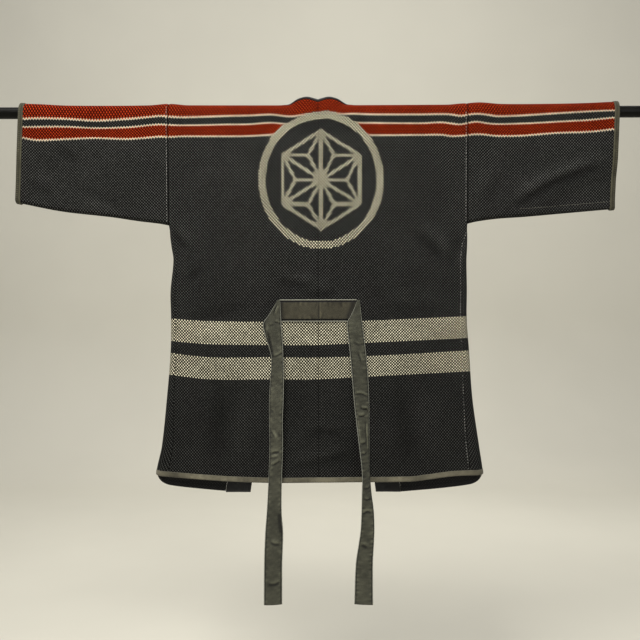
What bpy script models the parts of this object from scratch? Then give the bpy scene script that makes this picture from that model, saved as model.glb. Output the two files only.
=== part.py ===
"""A hanten, a short quilted cotton coat, hung on a plain rod that runs through both sleeves.

The back of the coat faces -Y, so a look along +Y shows it as it hangs. +X is the wearer's right and
+Z is up. The origin is the middle of the rod's axis. Each piece is an open sheet of cloth, shaped by
the functions below, with its real thickness from a Solidify modifier.
"""

import math
from collections import namedtuple

import bmesh
import bpy

# Rod
ROD_RADIUS = 0.0125
ROD_LENGTH = 1.46
ROD_SIDES = 24
ROD_END_BEVEL = 0.0015

# Cloth thicknesses and the gaps between pieces
CLOTH = 0.0026
COLLAR_CLOTH = 0.0040
BINDING_CLOTH = 0.0042
BELT_CLOTH = 0.0020
SEAM_GAP = 0.0004
LAID_ON_GAP = 0.0004
ROD_CLEARANCE = 0.0007
HEM_GAP = 0.0008
SIDE_GAP = 0.0009
MERGE_DISTANCE = 0.00001

# Signs of Y and X
BACK, FRONT = -1, 1
LEFT, RIGHT = -1, 1

# The cut of the coat, as it hangs
SHOULDER_HALF_WIDTH = 0.324
NECK_HALF_WIDTH = 0.078
HEM_BINDING = 0.012
HEM_LEVEL = -0.790
UNDERARM_DEPTH = 0.0095
SIDE_BLEND = 0.16
SEAM_SHIFT_LENGTH = 0.05
FRONT_EDGE_FOOT = -0.832
FRONT_EDGE_AT_HEM = {LEFT: 0.206, RIGHT: 0.181}

# The cloth's middle surface lies on this circle round the rod's axis
WRAP_RADIUS = ROD_RADIUS + ROD_CLEARANCE + CLOTH / 2
WRAP_QUARTER = WRAP_RADIUS * math.pi / 2

# Cuffs, and the little room that a sleeve has at the armpit
CUFF_BINDING = 0.011
CUFF_PROUD = (BINDING_CLOTH - CLOTH) / 2
CUFF_OUT = 0.6495
CUFF_LEAN = {LEFT: 0.0096, RIGHT: -0.0075}
CUFF_HEIGHT = 0.21
ARMPIT_RELIEF = 0.0016
ARMPIT_RELIEF_HEIGHT = 0.012

# The crease across the back of the right sleeve, below which the cloth turns in
CREASE_FROM, CREASE_TO = 0.40, 0.64
CREASE_LOW, CREASE_HIGH = -0.215, -0.105
CREASE_TURN = 0.0055
CREASE_SOFTNESS = 0.05

# The collar
COLLAR_WIDTH = 0.055
COLLAR_LIFT = 0.0010
COLLAR_PROUD = (COLLAR_CLOTH - CLOTH) / 2 + SEAM_GAP
COLLAR_ROOM = 0.0010
COLLAR_ROOM_FROM = 0.30
COLLAR_CORNER = 0.0012
COLLAR_CORNER_FROM = 0.050
COLLAR_RISE = 0.0080
COLLAR_ROLL = 0.0070
COLLAR_PULL = 0.35
COLLAR_FREE_DROP = 0.012
COLLAR_SETTLES = 0.12
COLLAR_STRAIGHTENS = 0.20

# Where the side folds stand, as distances from the middle of the back
SideRow = namedtuple("SideRow", "height left right")
SIDE_FOLDS = (
    SideRow(-0.2450, 0.3240, 0.3240),
    SideRow(-0.2910, 0.3183, 0.3231),
    SideRow(-0.3210, 0.3140, 0.3216),
    SideRow(-0.3905, 0.3205, 0.3222),
    SideRow(-0.4470, 0.3194, 0.3216),
    SideRow(-0.5230, 0.3207, 0.3268),
    SideRow(-0.6230, 0.3280, 0.3340),
    SideRow(-0.7250, 0.3374, 0.3496),
    SideRow(-0.7760, 0.3480, 0.3574),
    SideRow(-0.8200, 0.3510, 0.3610),
)

# The lower fold of each sleeve, from the armpit to the cuff
UnderarmRow = namedtuple("UnderarmRow", "out left right")
UNDERARMS = (
    UnderarmRow(0.324, -0.2455, -0.2435),
    UnderarmRow(0.345, -0.2385, -0.2352),
    UnderarmRow(0.390, -0.2311, -0.2276),
    UnderarmRow(0.450, -0.2261, -0.2233),
    UnderarmRow(0.560, -0.2144, -0.2133),
    UnderarmRow(0.660, -0.1950, -0.2040),
)

# The lower edge of the coat, across the back and across the fronts
HemRow = namedtuple("HemRow", "across height")
BACK_HEM = (
    HemRow(-0.350, -0.7868),
    HemRow(-0.295, -0.7910),
    HemRow(-0.204, -0.7970),
    HemRow(-0.106, -0.8012),
    HemRow(0.000, -0.8008),
    HemRow(0.194, -0.7992),
    HemRow(0.232, -0.7950),
    HemRow(0.293, -0.7886),
    HemRow(0.360, -0.7868),
)
FRONT_HEM_DROP = (
    HemRow(0.000, 0.0000),
    HemRow(0.006, -0.0015),
    HemRow(0.020, -0.0120),
    HemRow(0.045, -0.0230),
    HemRow(0.110, -0.0370),
    HemRow(0.180, -0.0450),
)

# How far the cloth's middle surface hangs from the plane of the rod's axis
DepthRow = namedtuple("DepthRow", "height side back front fold_radius seam_inset")
DEPTHS = (
    DepthRow(0.00, 0.0145, 0.0145, 0.0145, 0.008, 0.000),
    DepthRow(-0.15, 0.0120, 0.0165, 0.0165, 0.008, 0.000),
    DepthRow(-0.24, 0.0095, 0.0180, 0.0175, 0.008, 0.000),
    DepthRow(-0.30, 0.0105, 0.0185, 0.0178, 0.009, 0.009),
    DepthRow(-0.45, 0.0130, 0.0195, 0.0185, 0.012, 0.011),
    DepthRow(-0.62, 0.0170, 0.0230, 0.0200, 0.015, 0.017),
    DepthRow(-0.72, 0.0190, 0.0250, 0.0210, 0.017, 0.026),
    DepthRow(-0.84, 0.0205, 0.0275, 0.0220, 0.018, 0.031),
)

# The back neck stands above the rod in two humps beside the middle seam
NeckRow = namedtuple("NeckRow", "out rise lean")
NECK_EDGE = (
    NeckRow(0.000, 0.0190, -0.0125),
    NeckRow(0.011, 0.0225, -0.0130),
    NeckRow(0.024, 0.0255, -0.0135),
    NeckRow(0.040, 0.0230, -0.0120),
    NeckRow(0.058, 0.0180, -0.0070),
    NeckRow(0.070, 0.0155, -0.0020),
    NeckRow(0.078, 0.0145, 0.0000),
)
NECK_FADE = 0.030
NECK_STANDS_TO = 0.040
NECK_BULGE = 0.0016

# The collar's free edge round the neck, from the middle of the back to the shoulder
FreeRow = namedtuple("FreeRow", "out depth height")
COLLAR_FREE_EDGE = (
    FreeRow(0.000, 0.0330, 0.0215),
    FreeRow(0.006, 0.0328, 0.0220),
    FreeRow(0.012, 0.0318, 0.0205),
    FreeRow(0.017, 0.0300, 0.0170),
    FreeRow(0.020, 0.0280, 0.0120),
    FreeRow(0.022, 0.0255, 0.0050),
    FreeRow(0.023, 0.0230, -0.0040),
)

# The belt's band across the back, and its two ties
BELT_LEFT, BELT_RIGHT = -0.0838, 0.0832
BELT_TOP, BELT_BOTTOM = -0.4080, -0.4560
TieRow = namedtuple("TieRow", "height left right left_out right_out")
TIE_LEFT = (
    TieRow(-0.4090, -0.0872, -0.0820, 0.0024, 0.0024),
    TieRow(-0.4250, -0.0965, -0.0811, 0.0026, 0.0026),
    TieRow(-0.4430, -0.1080, -0.0803, 0.0028, 0.0028),
    TieRow(-0.4600, -0.1190, -0.0792, 0.0026, 0.0030),
    TieRow(-0.4800, -0.1160, -0.0777, 0.0022, 0.0030),
    TieRow(-0.5060, -0.1080, -0.0760, 0.0012, 0.0040),
    TieRow(-0.5340, -0.1013, -0.0751, 0.0006, 0.0060),
    TieRow(-0.5770, -0.1035, -0.0740, 0.0006, 0.0090),
    TieRow(-0.6230, -0.1059, -0.0746, 0.0006, 0.0110),
    TieRow(-0.6680, -0.1059, -0.0764, 0.0006, 0.0110),
    TieRow(-0.7250, -0.1052, -0.0760, 0.0006, 0.0100),
    TieRow(-0.7900, -0.1074, -0.0783, 0.0010, 0.0090),
    TieRow(-0.8590, -0.1109, -0.0790, 0.0040, 0.0080),
    TieRow(-0.9070, -0.1146, -0.0760, 0.0060, 0.0060),
    TieRow(-0.9700, -0.1168, -0.0781, 0.0080, 0.0050),
    TieRow(-1.0590, -0.1176, -0.0786, 0.0090, 0.0040),
)
TIE_RIGHT = (
    TieRow(-0.4095, 0.0838, 0.0892, 0.0024, 0.0024),
    TieRow(-0.4250, 0.0777, 0.0905, 0.0026, 0.0026),
    TieRow(-0.4430, 0.0694, 0.0924, 0.0028, 0.0028),
    TieRow(-0.4590, 0.0614, 0.0944, 0.0028, 0.0028),
    TieRow(-0.5010, 0.0651, 0.0996, 0.0030, 0.0010),
    TieRow(-0.5620, 0.0705, 0.1057, 0.0040, 0.0006),
    TieRow(-0.6230, 0.0751, 0.1085, 0.0070, 0.0006),
    TieRow(-0.6840, 0.0816, 0.1085, 0.0130, 0.0006),
    TieRow(-0.7290, 0.0866, 0.1087, 0.0190, 0.0006),
    TieRow(-0.7660, 0.0907, 0.1085, 0.0230, 0.0008),
    TieRow(-0.7900, 0.0918, 0.1098, 0.0230, 0.0010),
    TieRow(-0.8250, 0.0909, 0.1128, 0.0200, 0.0030),
    TieRow(-0.8590, 0.0903, 0.1172, 0.0150, 0.0050),
    TieRow(-0.8960, 0.0888, 0.1185, 0.0110, 0.0060),
    TieRow(-0.9310, 0.0844, 0.1172, 0.0080, 0.0070),
    TieRow(-0.9700, 0.0786, 0.1150, 0.0060, 0.0080),
    TieRow(-1.0590, 0.0751, 0.1150, 0.0040, 0.0090),
)

# How finely the sheets are divided
EDGE_STEPS = (0.0, 0.0014, 0.0042, 0.0085, 0.0140, 0.0205, 0.0290, 0.0420, 0.0630)
INNER_COLUMNS = 5
LOWER_ROWS = 12
LOWER_ROW_CROWDING = 1.5
UPPER_ROWS = 5
WRAP_ROWS = 4
ROUNDED_STEPS = (0.0018, 0.0048, 0.0095)
SLEEVE_COLUMNS = 9
SLEEVE_WALL_ROWS = 6
COLLAR_SHARES = (0.0, 0.045, 0.11, 0.20, 0.32, 0.48, 0.72, 1.0)
COLLAR_SHOULDER_ROWS = 3
COLLAR_FRONT_ROWS = 12
COLLAR_ROW_CROWDING = 1.25
BELT_ROWS = 3
BELT_COLUMNS = 10
TIE_COLUMNS = 3


def clamp(value, low=0.0, high=1.0):
    return max(low, min(high, value))


def smooth(share):
    share = clamp(share)
    return share * share * (3 - 2 * share)


def mix(a, b, share):
    return a + (b - a) * share


def curve_through(rows, key, column, at):
    """The table's column at a value of its key, on a smooth curve through the rows."""
    keys = [getattr(row, key) for row in rows]
    values = [getattr(row, column) for row in rows]
    if keys[0] > keys[-1]:
        keys.reverse()
        values.reverse()
    at = clamp(at, keys[0], keys[-1])
    index = max(i for i in range(len(keys) - 1) if keys[i] <= at)

    def slope(i):
        low, high = max(i - 1, 0), min(i + 1, len(keys) - 1)
        return (values[high] - values[low]) / (keys[high] - keys[low])

    span = keys[index + 1] - keys[index]
    share = (at - keys[index]) / span
    start, end = values[index], values[index + 1]
    rise = end - start
    leave, arrive = slope(index) * span, slope(index + 1) * span
    return (
        start
        + share * leave
        + share**2 * (3 * rise - 2 * leave - arrive)
        + share**3 * (leave + arrive - 2 * rise)
    )


def side_name(side):
    return "left" if side == LEFT else "right"


def side_fold(side, height):
    """How far the side fold stands from the middle of the back."""
    return curve_through(SIDE_FOLDS, "height", side_name(side), height)


def underarm(side, out):
    """The height of the sleeve's lower fold."""
    return curve_through(UNDERARMS, "out", side_name(side), out)


def armpit(side):
    return underarm(side, SHOULDER_HALF_WIDTH)


def hanging(column, height):
    return curve_through(DEPTHS, "height", column, height)


def fold_roundness(distance, radius):
    """0 on a fold's edge and 1 past its rounded part, as a quarter circle."""
    return math.sqrt(1 - (1 - clamp(distance / radius)) ** 2)


def sleeve_depth(side, out, height):
    """How far the sleeve's wall hangs from the rod's plane, before its lower fold is rounded."""
    return mix(WRAP_RADIUS, UNDERARM_DEPTH, smooth(height / underarm(side, out)))


def cuff_turn(side, out, height):
    """How far the back of the right sleeve turns in below the crease that runs up to its cuff."""
    if side == LEFT:
        return 0.0
    along = (out - CREASE_FROM) / (CREASE_TO - CREASE_FROM)
    crease = mix(CREASE_LOW, CREASE_HIGH, smooth(along))
    return CREASE_TURN * smooth((crease - height) / CREASE_SOFTNESS) * smooth(2 * along)


def body_depth(side, face, out, height):
    """How far the body's wall hangs from the rod's plane, before its side fold is rounded."""
    if height > armpit(side):
        edge = sleeve_depth(side, SHOULDER_HALF_WIDTH, height)
        reach = SHOULDER_HALF_WIDTH - out
    else:
        edge = hanging("side", height)
        reach = side_fold(side, height) - out
    middle = hanging("back" if face == BACK else "front", height)
    return mix(edge, middle, smooth(reach / SIDE_BLEND))


def edge_distance(side, out, height):
    """How far a point of the body lies from the side fold, or from the armpit above it."""
    if height > armpit(side):
        return math.hypot(SHOULDER_HALF_WIDTH - out, height - armpit(side))
    return side_fold(side, height) - out


def body_point(side, face, out, height):
    """A point on the body's middle surface below the rod."""
    roundness = fold_roundness(edge_distance(side, out, height), hanging("fold_radius", height))
    return (side * out, face * body_depth(side, face, out, height) * roundness, height)


def clear_of_rod(y, z, radius):
    """A point of a cross-section, moved out to a circle round the rod if it lies inside it."""
    distance = math.hypot(y, z)
    if distance >= radius:
        return y, z
    return y * radius / distance, z * radius / distance


def shoulder_point(side, face, out, drop):
    """A point on the cloth as it wraps the rod, drop being its way down from the top of the rod."""
    if drop >= WRAP_QUARTER:
        return body_point(side, face, out, WRAP_QUARTER - drop)
    angle = drop / WRAP_RADIUS
    return (side * out, face * WRAP_RADIUS * math.sin(angle), WRAP_RADIUS * math.cos(angle))


def back_point(side, out, drop):
    """A point on the back, where the cloth below the neck stands up past the rod."""
    x, y, z = shoulder_point(side, BACK, out, drop)
    if out >= NECK_HALF_WIDTH or drop > WRAP_QUARTER + NECK_FADE:
        return (x, y, z)
    rise = curve_through(NECK_EDGE, "out", "rise", out)
    lean = curve_through(NECK_EDGE, "out", "lean", out)
    reach = drop / (WRAP_QUARTER + NECK_FADE)
    foot_y, foot_z = BACK * body_depth(side, BACK, out, -NECK_FADE), -NECK_FADE
    bulge = BACK * NECK_BULGE * math.sin(math.pi * reach)
    laid = smooth((out - NECK_STANDS_TO) / (NECK_HALF_WIDTH - NECK_STANDS_TO))
    y = mix(mix(lean, foot_y, reach) + bulge, y, laid)
    z = mix(mix(rise, foot_z, reach), z, laid)
    return (x, *clear_of_rod(y, z, WRAP_RADIUS))


def front_edge(side, drop):
    """The inner edge of the front, where the collar is sewn on."""
    share = drop / (WRAP_QUARTER - FRONT_EDGE_FOOT)
    return mix(NECK_HALF_WIDTH, FRONT_EDGE_AT_HEM[side], share)


def quarter_length(side, face, height):
    """The cloth's length round one quarter of the side fold."""
    radius = hanging("fold_radius", height)
    depth = body_depth(side, face, side_fold(side, height) - radius, height)
    return math.pi / 2 * math.sqrt((radius * radius + depth * depth) / 2)


def round_the_side(side, height, along):
    """Face and distance out for cloth at a length along from the side fold, positive on the back."""
    face = BACK if along >= 0 else FRONT
    radius = hanging("fold_radius", height)
    quarter = quarter_length(side, face, height)
    fold = side_fold(side, height)
    length = abs(along)
    if length >= quarter:
        return face, fold - radius - (length - quarter)
    return face, fold - radius * (1 - math.cos(length / quarter * math.pi / 2))


def side_seam(side, height):
    """The length from the side fold to the side seam, which lies just round on the back."""
    inset = hanging("seam_inset", height) * smooth((armpit(side) - height) / SEAM_SHIFT_LENGTH)
    radius = hanging("fold_radius", height)
    quarter = quarter_length(side, BACK, height)
    if inset >= radius:
        return quarter + inset - radius
    return quarter * math.acos(1 - inset / radius) / (math.pi / 2)


def length_to(side, face, out, height):
    """The length from the side fold to a point further in on one face."""
    radius = hanging("fold_radius", height)
    return quarter_length(side, face, height) + side_fold(side, height) - radius - out


def hem_height(side, face, out):
    """The height of the coat's lower edge."""
    back = curve_through(BACK_HEM, "across", "height", side * out)
    if face == BACK:
        return back
    fold = side_fold(side, HEM_LEVEL)
    at_fold = curve_through(BACK_HEM, "across", "height", side * fold)
    return at_fold + curve_through(FRONT_HEM_DROP, "across", "height", fold - out)


def column_lengths(total):
    """Distances from a sheet's outer edge, close together at the edge and even further in."""
    even = (total - EDGE_STEPS[-1]) / INNER_COLUMNS
    inner = [EDGE_STEPS[-1] + even * (i + 1) for i in range(INNER_COLUMNS)]
    return list(EDGE_STEPS) + inner


def neck_columns():
    """The back's columns below the neck, from the neck's end in to the middle seam."""
    outs = [row.out for row in reversed(NECK_EDGE)][1:]
    return [max(out, SEAM_GAP / 2) for out in outs]


def lower_row(side, face, share, base):
    """A row of one face below the armpit, from the side seam in to the middle or the front edge.

    share runs from 0 at the armpit to 1 at the lower edge, which lies base above the coat's hem.
    """
    top = armpit(side)
    nominal = mix(top, hem_height(side, BACK, side_fold(side, HEM_LEVEL)) + base, share)
    seam = side_seam(side, nominal)
    if face == BACK:
        first = seam + SIDE_GAP / 2
        total = length_to(side, BACK, NECK_HALF_WIDTH, nominal) - first
    else:
        first = SIDE_GAP / 2 - seam
        inner = front_edge(side, WRAP_QUARTER - mix(top, FRONT_EDGE_FOOT, share))
        total = length_to(side, FRONT, inner, nominal) - first
    points = []
    for length in column_lengths(total):
        along = first + length if face == BACK else -first - length
        on_face, out = round_the_side(side, nominal, along)
        height = mix(top, hem_height(side, on_face, out) + base, share)
        on_face, out = round_the_side(side, mix(nominal, height, 0.5), along)
        points.append(body_point(side, on_face, out, height))
    if face == BACK:
        for out in neck_columns():
            height = mix(top, hem_height(side, BACK, out) + base, share)
            points.append(body_point(side, BACK, out, height))
    return points


def upper_row(side, face, drop):
    """A row of one face above the armpit, from the armhole in to the middle or the front edge."""
    inner = NECK_HALF_WIDTH if face == BACK else front_edge(side, drop)
    outer = SHOULDER_HALF_WIDTH - SEAM_GAP / 2
    outs = [outer - length for length in column_lengths(outer - inner)]
    if face == FRONT:
        return [shoulder_point(side, FRONT, out, drop) for out in outs]
    return [back_point(side, out, drop) for out in outs + neck_columns()]


def body_rows(side, face):
    """All rows of one face of a body strip, from the top of the rod down to the hem binding."""
    top = WRAP_QUARTER - armpit(side)
    drops = [WRAP_QUARTER * i / WRAP_ROWS for i in range(WRAP_ROWS)]
    above = top - ROUNDED_STEPS[-1]
    drops += [mix(WRAP_QUARTER, above, i / UPPER_ROWS) for i in range(UPPER_ROWS + 1)]
    drops += [top - step for step in ROUNDED_STEPS[-2::-1]]
    rows = [upper_row(side, face, drop) for drop in drops]
    for i in range(LOWER_ROWS + 1):
        share = (i / LOWER_ROWS) ** LOWER_ROW_CROWDING
        rows.append(lower_row(side, face, share, HEM_BINDING + HEM_GAP))
    return rows


def cuff_line(side, height):
    """How far out the cuff's edge stands, which leans a little."""
    return CUFF_OUT + CUFF_LEAN[side] * clamp((WRAP_RADIUS - height) / CUFF_HEIGHT)


def sleeve_section(side, out_of, proud=0.0):
    """The loop round a sleeve, from its lower fold up the back, over the rod and down the front.

    out_of gives the distance from the middle for a height, so that a loop can lean. A loop that
    stands proud of the sleeve's own middle surface lies outside it by that much.
    """
    radius = DEPTHS[0].fold_radius
    wrap = WRAP_RADIUS + proud
    low = underarm(side, out_of(armpit(side))) - proud

    def wall_point(face, distance_up):
        height = low + distance_up
        out = out_of(height)
        depth = sleeve_depth(side, out, height) + proud
        if face == BACK:
            depth -= cuff_turn(side, out, height)
        return (side * out, face * depth * fold_roundness(distance_up, radius), height)

    def face_points(face):
        steps = [radius * (1 - math.cos(angle)) for angle in (math.pi / 6, math.pi / 3)]
        steps += [mix(radius, -low, i / SLEEVE_WALL_ROWS) for i in range(SLEEVE_WALL_ROWS)]
        walls = [wall_point(face, step) for step in steps]
        for i in range(WRAP_ROWS):
            angle = math.pi / 2 * (1 - i / WRAP_ROWS)
            height = wrap * math.cos(angle)
            walls.append((side * out_of(height), face * wrap * math.sin(angle), height))
        return walls

    bottom = [wall_point(BACK, 0.0)]
    top = [(side * out_of(wrap), 0.0, wrap)]
    return bottom + face_points(BACK) + top + face_points(FRONT)[::-1]


def sleeve_start(side):
    """The sleeve's armhole edge, which stands a little clear of the body at the armpit."""
    def out_of(height):
        near = smooth(1 - (height - armpit(side)) / ARMPIT_RELIEF_HEIGHT)
        return SHOULDER_HALF_WIDTH + SEAM_GAP / 2 + ARMPIT_RELIEF * near
    return out_of


def sleeve_loops(side):
    """The loops of a sleeve, from the armhole out to the cuff binding."""
    start = sleeve_start(side)
    loops = []
    for i in range(SLEEVE_COLUMNS + 1):
        share = i / SLEEVE_COLUMNS

        def out_of(height, share=share):
            end = cuff_line(side, height) - CUFF_BINDING - SEAM_GAP
            return mix(start(height), end, share)

        loops.append(sleeve_section(side, out_of))
    return loops


def cuff_loops(side):
    """The two edges of a cuff's binding."""
    inner = sleeve_section(side, lambda height: cuff_line(side, height) - CUFF_BINDING, CUFF_PROUD)
    outer = sleeve_section(side, lambda height: cuff_line(side, height), CUFF_PROUD)
    return [inner, outer]


def neck_seam(side, out):
    """A point of the back's neck edge, and the direction in which the cloth leaves it."""
    edge = back_point(side, out, 0.0)
    below = back_point(side, out, COLLAR_LIFT)
    up = [a - b for a, b in zip(edge, below)]
    length = math.hypot(*up)
    return edge, [v / length for v in up]


def bezier(start, leave, arrive, end, share):
    a, b = (1 - share) ** 3, 3 * share * (1 - share) ** 2
    c, d = 3 * share**2 * (1 - share), share**3
    return tuple(a * p + b * q + c * r + d * s for p, q, r, s in zip(start, leave, arrive, end))


def collar_wrap(share):
    """The smallest radius round the rod for the collar's middle surface, larger off its seam."""
    return WRAP_RADIUS + COLLAR_PROUD + COLLAR_ROOM * smooth(share / COLLAR_ROOM_FROM)


def collar_neck_rows(side):
    """The collar's rows round the back neck, where it stands up and rolls forward over the rod."""
    rows = []
    for neck, free in zip(NECK_EDGE, COLLAR_FREE_EDGE):
        edge, up = neck_seam(side, neck.out)
        turned = smooth((neck.out - COLLAR_CORNER_FROM) / (NECK_HALF_WIDTH - COLLAR_CORNER_FROM))
        into_corner = (-side, 1, 1)
        start = [e + u * COLLAR_LIFT + c * turned * COLLAR_CORNER for e, u, c in zip(edge, up, into_corner)]
        inward = (-side, 0, 0)
        leave = [s + mix(u, i, turned / 2) * COLLAR_RISE for s, u, i in zip(start, up, inward)]
        end = (side * free.out, free.depth, free.height)
        arrive = (
            mix(end[0], start[0], COLLAR_PULL),
            mix(end[1], start[1], COLLAR_PULL),
            end[2] + COLLAR_ROLL * (1 - turned),
        )
        row = []
        for share in COLLAR_SHARES:
            x, y, z = bezier(start, leave, arrive, end, share)
            row.append((x, *clear_of_rod(y, z, collar_wrap(share))))
        rows.append(row)
    return rows


def collar_front_row(side, drop):
    """A row of the collar down the front, from its seam to its free edge."""
    seam = front_edge(side, drop) - SEAM_GAP
    x, y, z = shoulder_point(side, FRONT, seam, drop)
    angle = min(drop, WRAP_QUARTER) / WRAP_RADIUS
    y += COLLAR_PROUD * math.sin(angle)
    z += COLLAR_PROUD * math.cos(angle)
    last = COLLAR_FREE_EDGE[-1]
    free_y = mix(last.depth, y, smooth(drop / COLLAR_SETTLES))
    if drop < WRAP_QUARTER:
        free_z = mix(last.height, -COLLAR_FREE_DROP, drop / WRAP_QUARTER)
    else:
        free_z = z - COLLAR_FREE_DROP * (1 - smooth((drop - WRAP_QUARTER) / COLLAR_STRAIGHTENS))
    row = []
    for share in COLLAR_SHARES:
        at_y, at_z = mix(y, free_y, smooth(share)), mix(z, free_z, share)
        row.append((side * (seam - COLLAR_WIDTH * share), *clear_of_rod(at_y, at_z, collar_wrap(share))))
    return row


def collar_front_rows(side):
    """The collar's rows from the shoulder down to the front hem."""
    length = -FRONT_EDGE_FOOT
    drops = [WRAP_QUARTER * (i + 1) / COLLAR_SHOULDER_ROWS for i in range(COLLAR_SHOULDER_ROWS)]
    for i in range(COLLAR_FRONT_ROWS):
        drops.append(WRAP_QUARTER + length * ((i + 1) / COLLAR_FRONT_ROWS) ** COLLAR_ROW_CROWDING)
    return [collar_front_row(side, drop) for drop in drops]


def collar_rows():
    """The collar's band from the left front hem, up round the back neck, to the right front hem."""
    left = collar_neck_rows(LEFT) + collar_front_rows(LEFT)
    right = collar_neck_rows(RIGHT)[1:] + collar_front_rows(RIGHT)
    return left[::-1] + right


def hem_rows():
    """The binding's two edges, from the left front round the back to the right front."""
    edges = []
    for base in (HEM_BINDING, 0.0):
        edge = []
        for side in (LEFT, RIGHT):
            front = lower_row(side, FRONT, 1.0, base)
            back = lower_row(side, BACK, 1.0, base)
            half = front[::-1] + back[1:]
            edge += half[:-1] if side == LEFT else half[::-1]
        edges.append(edge)
    return edges


def add_grid(mesh_data, rows, closed):
    """A grid with its corners on rows of points, closed if each row is a loop."""
    count = len(rows[0])
    width = count + closed
    made = bmesh.ops.create_grid(mesh_data, x_segments=width - 1, y_segments=len(rows) - 1, size=1)
    corners = sorted(made["verts"], key=lambda v: (round(v.co.y, 5), round(v.co.x, 5)))
    for index, corner in enumerate(corners):
        row, column = divmod(index, width)
        corner.co = rows[row][column % count]


def cloth(name, grids, thickness, finish, closed=False):
    """Sheets of cloth that join where their points meet, with their thickness centred on them."""
    mesh_data = bmesh.new()
    for rows in grids:
        add_grid(mesh_data, rows, closed)
    bmesh.ops.remove_doubles(mesh_data, verts=mesh_data.verts, dist=MERGE_DISTANCE)
    bmesh.ops.recalc_face_normals(mesh_data, faces=mesh_data.faces)
    mesh = bpy.data.meshes.new(name)
    mesh_data.to_mesh(mesh)
    mesh_data.free()
    mesh.shade_smooth()
    piece = bpy.data.objects.new(name, mesh)
    wall = piece.modifiers.new("thickness", "SOLIDIFY")
    wall.thickness = thickness
    wall.offset = 0.0
    wall.use_even_offset = True
    piece.data.materials.append(finish)
    COAT.objects.link(piece)
    return piece


def belt_rows():
    """The band sewn across the middle of the back, laid on the back's own points."""
    out_by = CLOTH / 2 + LAID_ON_GAP + BELT_CLOTH / 2
    rows = []
    for i in range(BELT_ROWS + 1):
        height = mix(BELT_TOP, BELT_BOTTOM, i / BELT_ROWS)
        row = []
        for j in range(BELT_COLUMNS + 1):
            across = mix(BELT_LEFT, BELT_RIGHT, j / BELT_COLUMNS)
            side = LEFT if across < 0 else RIGHT
            x, y, z = body_point(side, BACK, abs(across), height)
            row.append((x, y - out_by, z))
        rows.append(row)
    return rows


def tie_rows(table):
    """A tie that turns down from the band's end and hangs in front of the back."""
    out_by = CLOTH / 2 + LAID_ON_GAP + BELT_CLOTH / 2
    rows = []
    for entry in table:
        row = []
        for i in range(TIE_COLUMNS + 1):
            share = i / TIE_COLUMNS
            across = mix(entry.left, entry.right, share)
            side = LEFT if across < 0 else RIGHT
            depth = body_depth(side, BACK, abs(across), max(entry.height, HEM_LEVEL))
            out = mix(entry.left_out, entry.right_out, share)
            row.append((across, -depth - out_by - out, entry.height))
        rows.append(row)
    return rows


def material(name, colour, roughness):
    made = bpy.data.materials.new(name)
    made.use_nodes = True
    shader = made.node_tree.nodes["Principled BSDF"]
    shader.inputs["Base Color"].default_value = (*colour, 1.0)
    shader.inputs["Roughness"].default_value = roughness
    shader.inputs["Metallic"].default_value = 0.0
    return made


def rod(finish):
    """The hanging rod, along X, with slightly broken end edges."""
    mesh_data = bmesh.new()
    bmesh.ops.create_cone(
        mesh_data,
        cap_ends=True,
        segments=ROD_SIDES,
        radius1=ROD_RADIUS,
        radius2=ROD_RADIUS,
        depth=ROD_LENGTH,
    )
    mesh = bpy.data.meshes.new("rod")
    mesh_data.to_mesh(mesh)
    mesh_data.free()
    piece = bpy.data.objects.new("rod", mesh)
    piece.rotation_euler = (0.0, math.pi / 2, 0.0)
    edge = piece.modifiers.new("broken edge", "BEVEL")
    edge.width = ROD_END_BEVEL
    edge.segments = 1
    edge.limit_method = "ANGLE"
    edge.angle_limit = math.radians(60)
    piece.data.materials.append(finish)
    COAT.objects.link(piece)
    return piece


for old in list(bpy.data.objects):
    bpy.data.objects.remove(old)

COAT = bpy.data.collections.new("hanten on a rod")
bpy.context.scene.collection.children.link(COAT)

black_cloth = material("black quilted cotton", (0.024, 0.024, 0.022), 0.9)
olive_cloth = material("olive cotton", (0.070, 0.065, 0.043), 0.85)
black_paint = material("black paint", (0.010, 0.010, 0.008), 0.35)

rod(black_paint)
for wearer_side in (LEFT, RIGHT):
    tag = side_name(wearer_side)
    strip = [body_rows(wearer_side, BACK), body_rows(wearer_side, FRONT)]
    cloth(f"body_{tag}", strip, CLOTH, black_cloth)
    cloth(f"sleeve_{tag}", [sleeve_loops(wearer_side)], CLOTH, black_cloth, closed=True)
    cloth(f"cuff_binding_{tag}", [cuff_loops(wearer_side)], BINDING_CLOTH, olive_cloth, closed=True)
cloth("collar", [collar_rows()], COLLAR_CLOTH, black_cloth)
cloth("hem_binding", [hem_rows()], BINDING_CLOTH, olive_cloth)
cloth("belt", [belt_rows()], BELT_CLOTH, olive_cloth)
cloth("tie_left", [tie_rows(TIE_LEFT)], BELT_CLOTH, olive_cloth)
cloth("tie_right", [tie_rows(TIE_RIGHT)], BELT_CLOTH, olive_cloth)
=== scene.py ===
"""A black quilted cotton hanten, hung on a rod through its sleeves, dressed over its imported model.

The frame is in metres with +Z up. The back of the coat faces -Y, +X is the wearer's right, and the
origin is the middle of the rod. Each cloth piece is a closed shell of real thickness that hangs as
its solid does, with the finer creases added. Its UV map holds each point's place on the flat cloth,
in metres: how far across from the middle of the back, and how far down from the top of the shoulder,
which is negative on the fronts. A binding, band or tie has its own: over its width, and along it.
"""

import math
from collections import namedtuple

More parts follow.
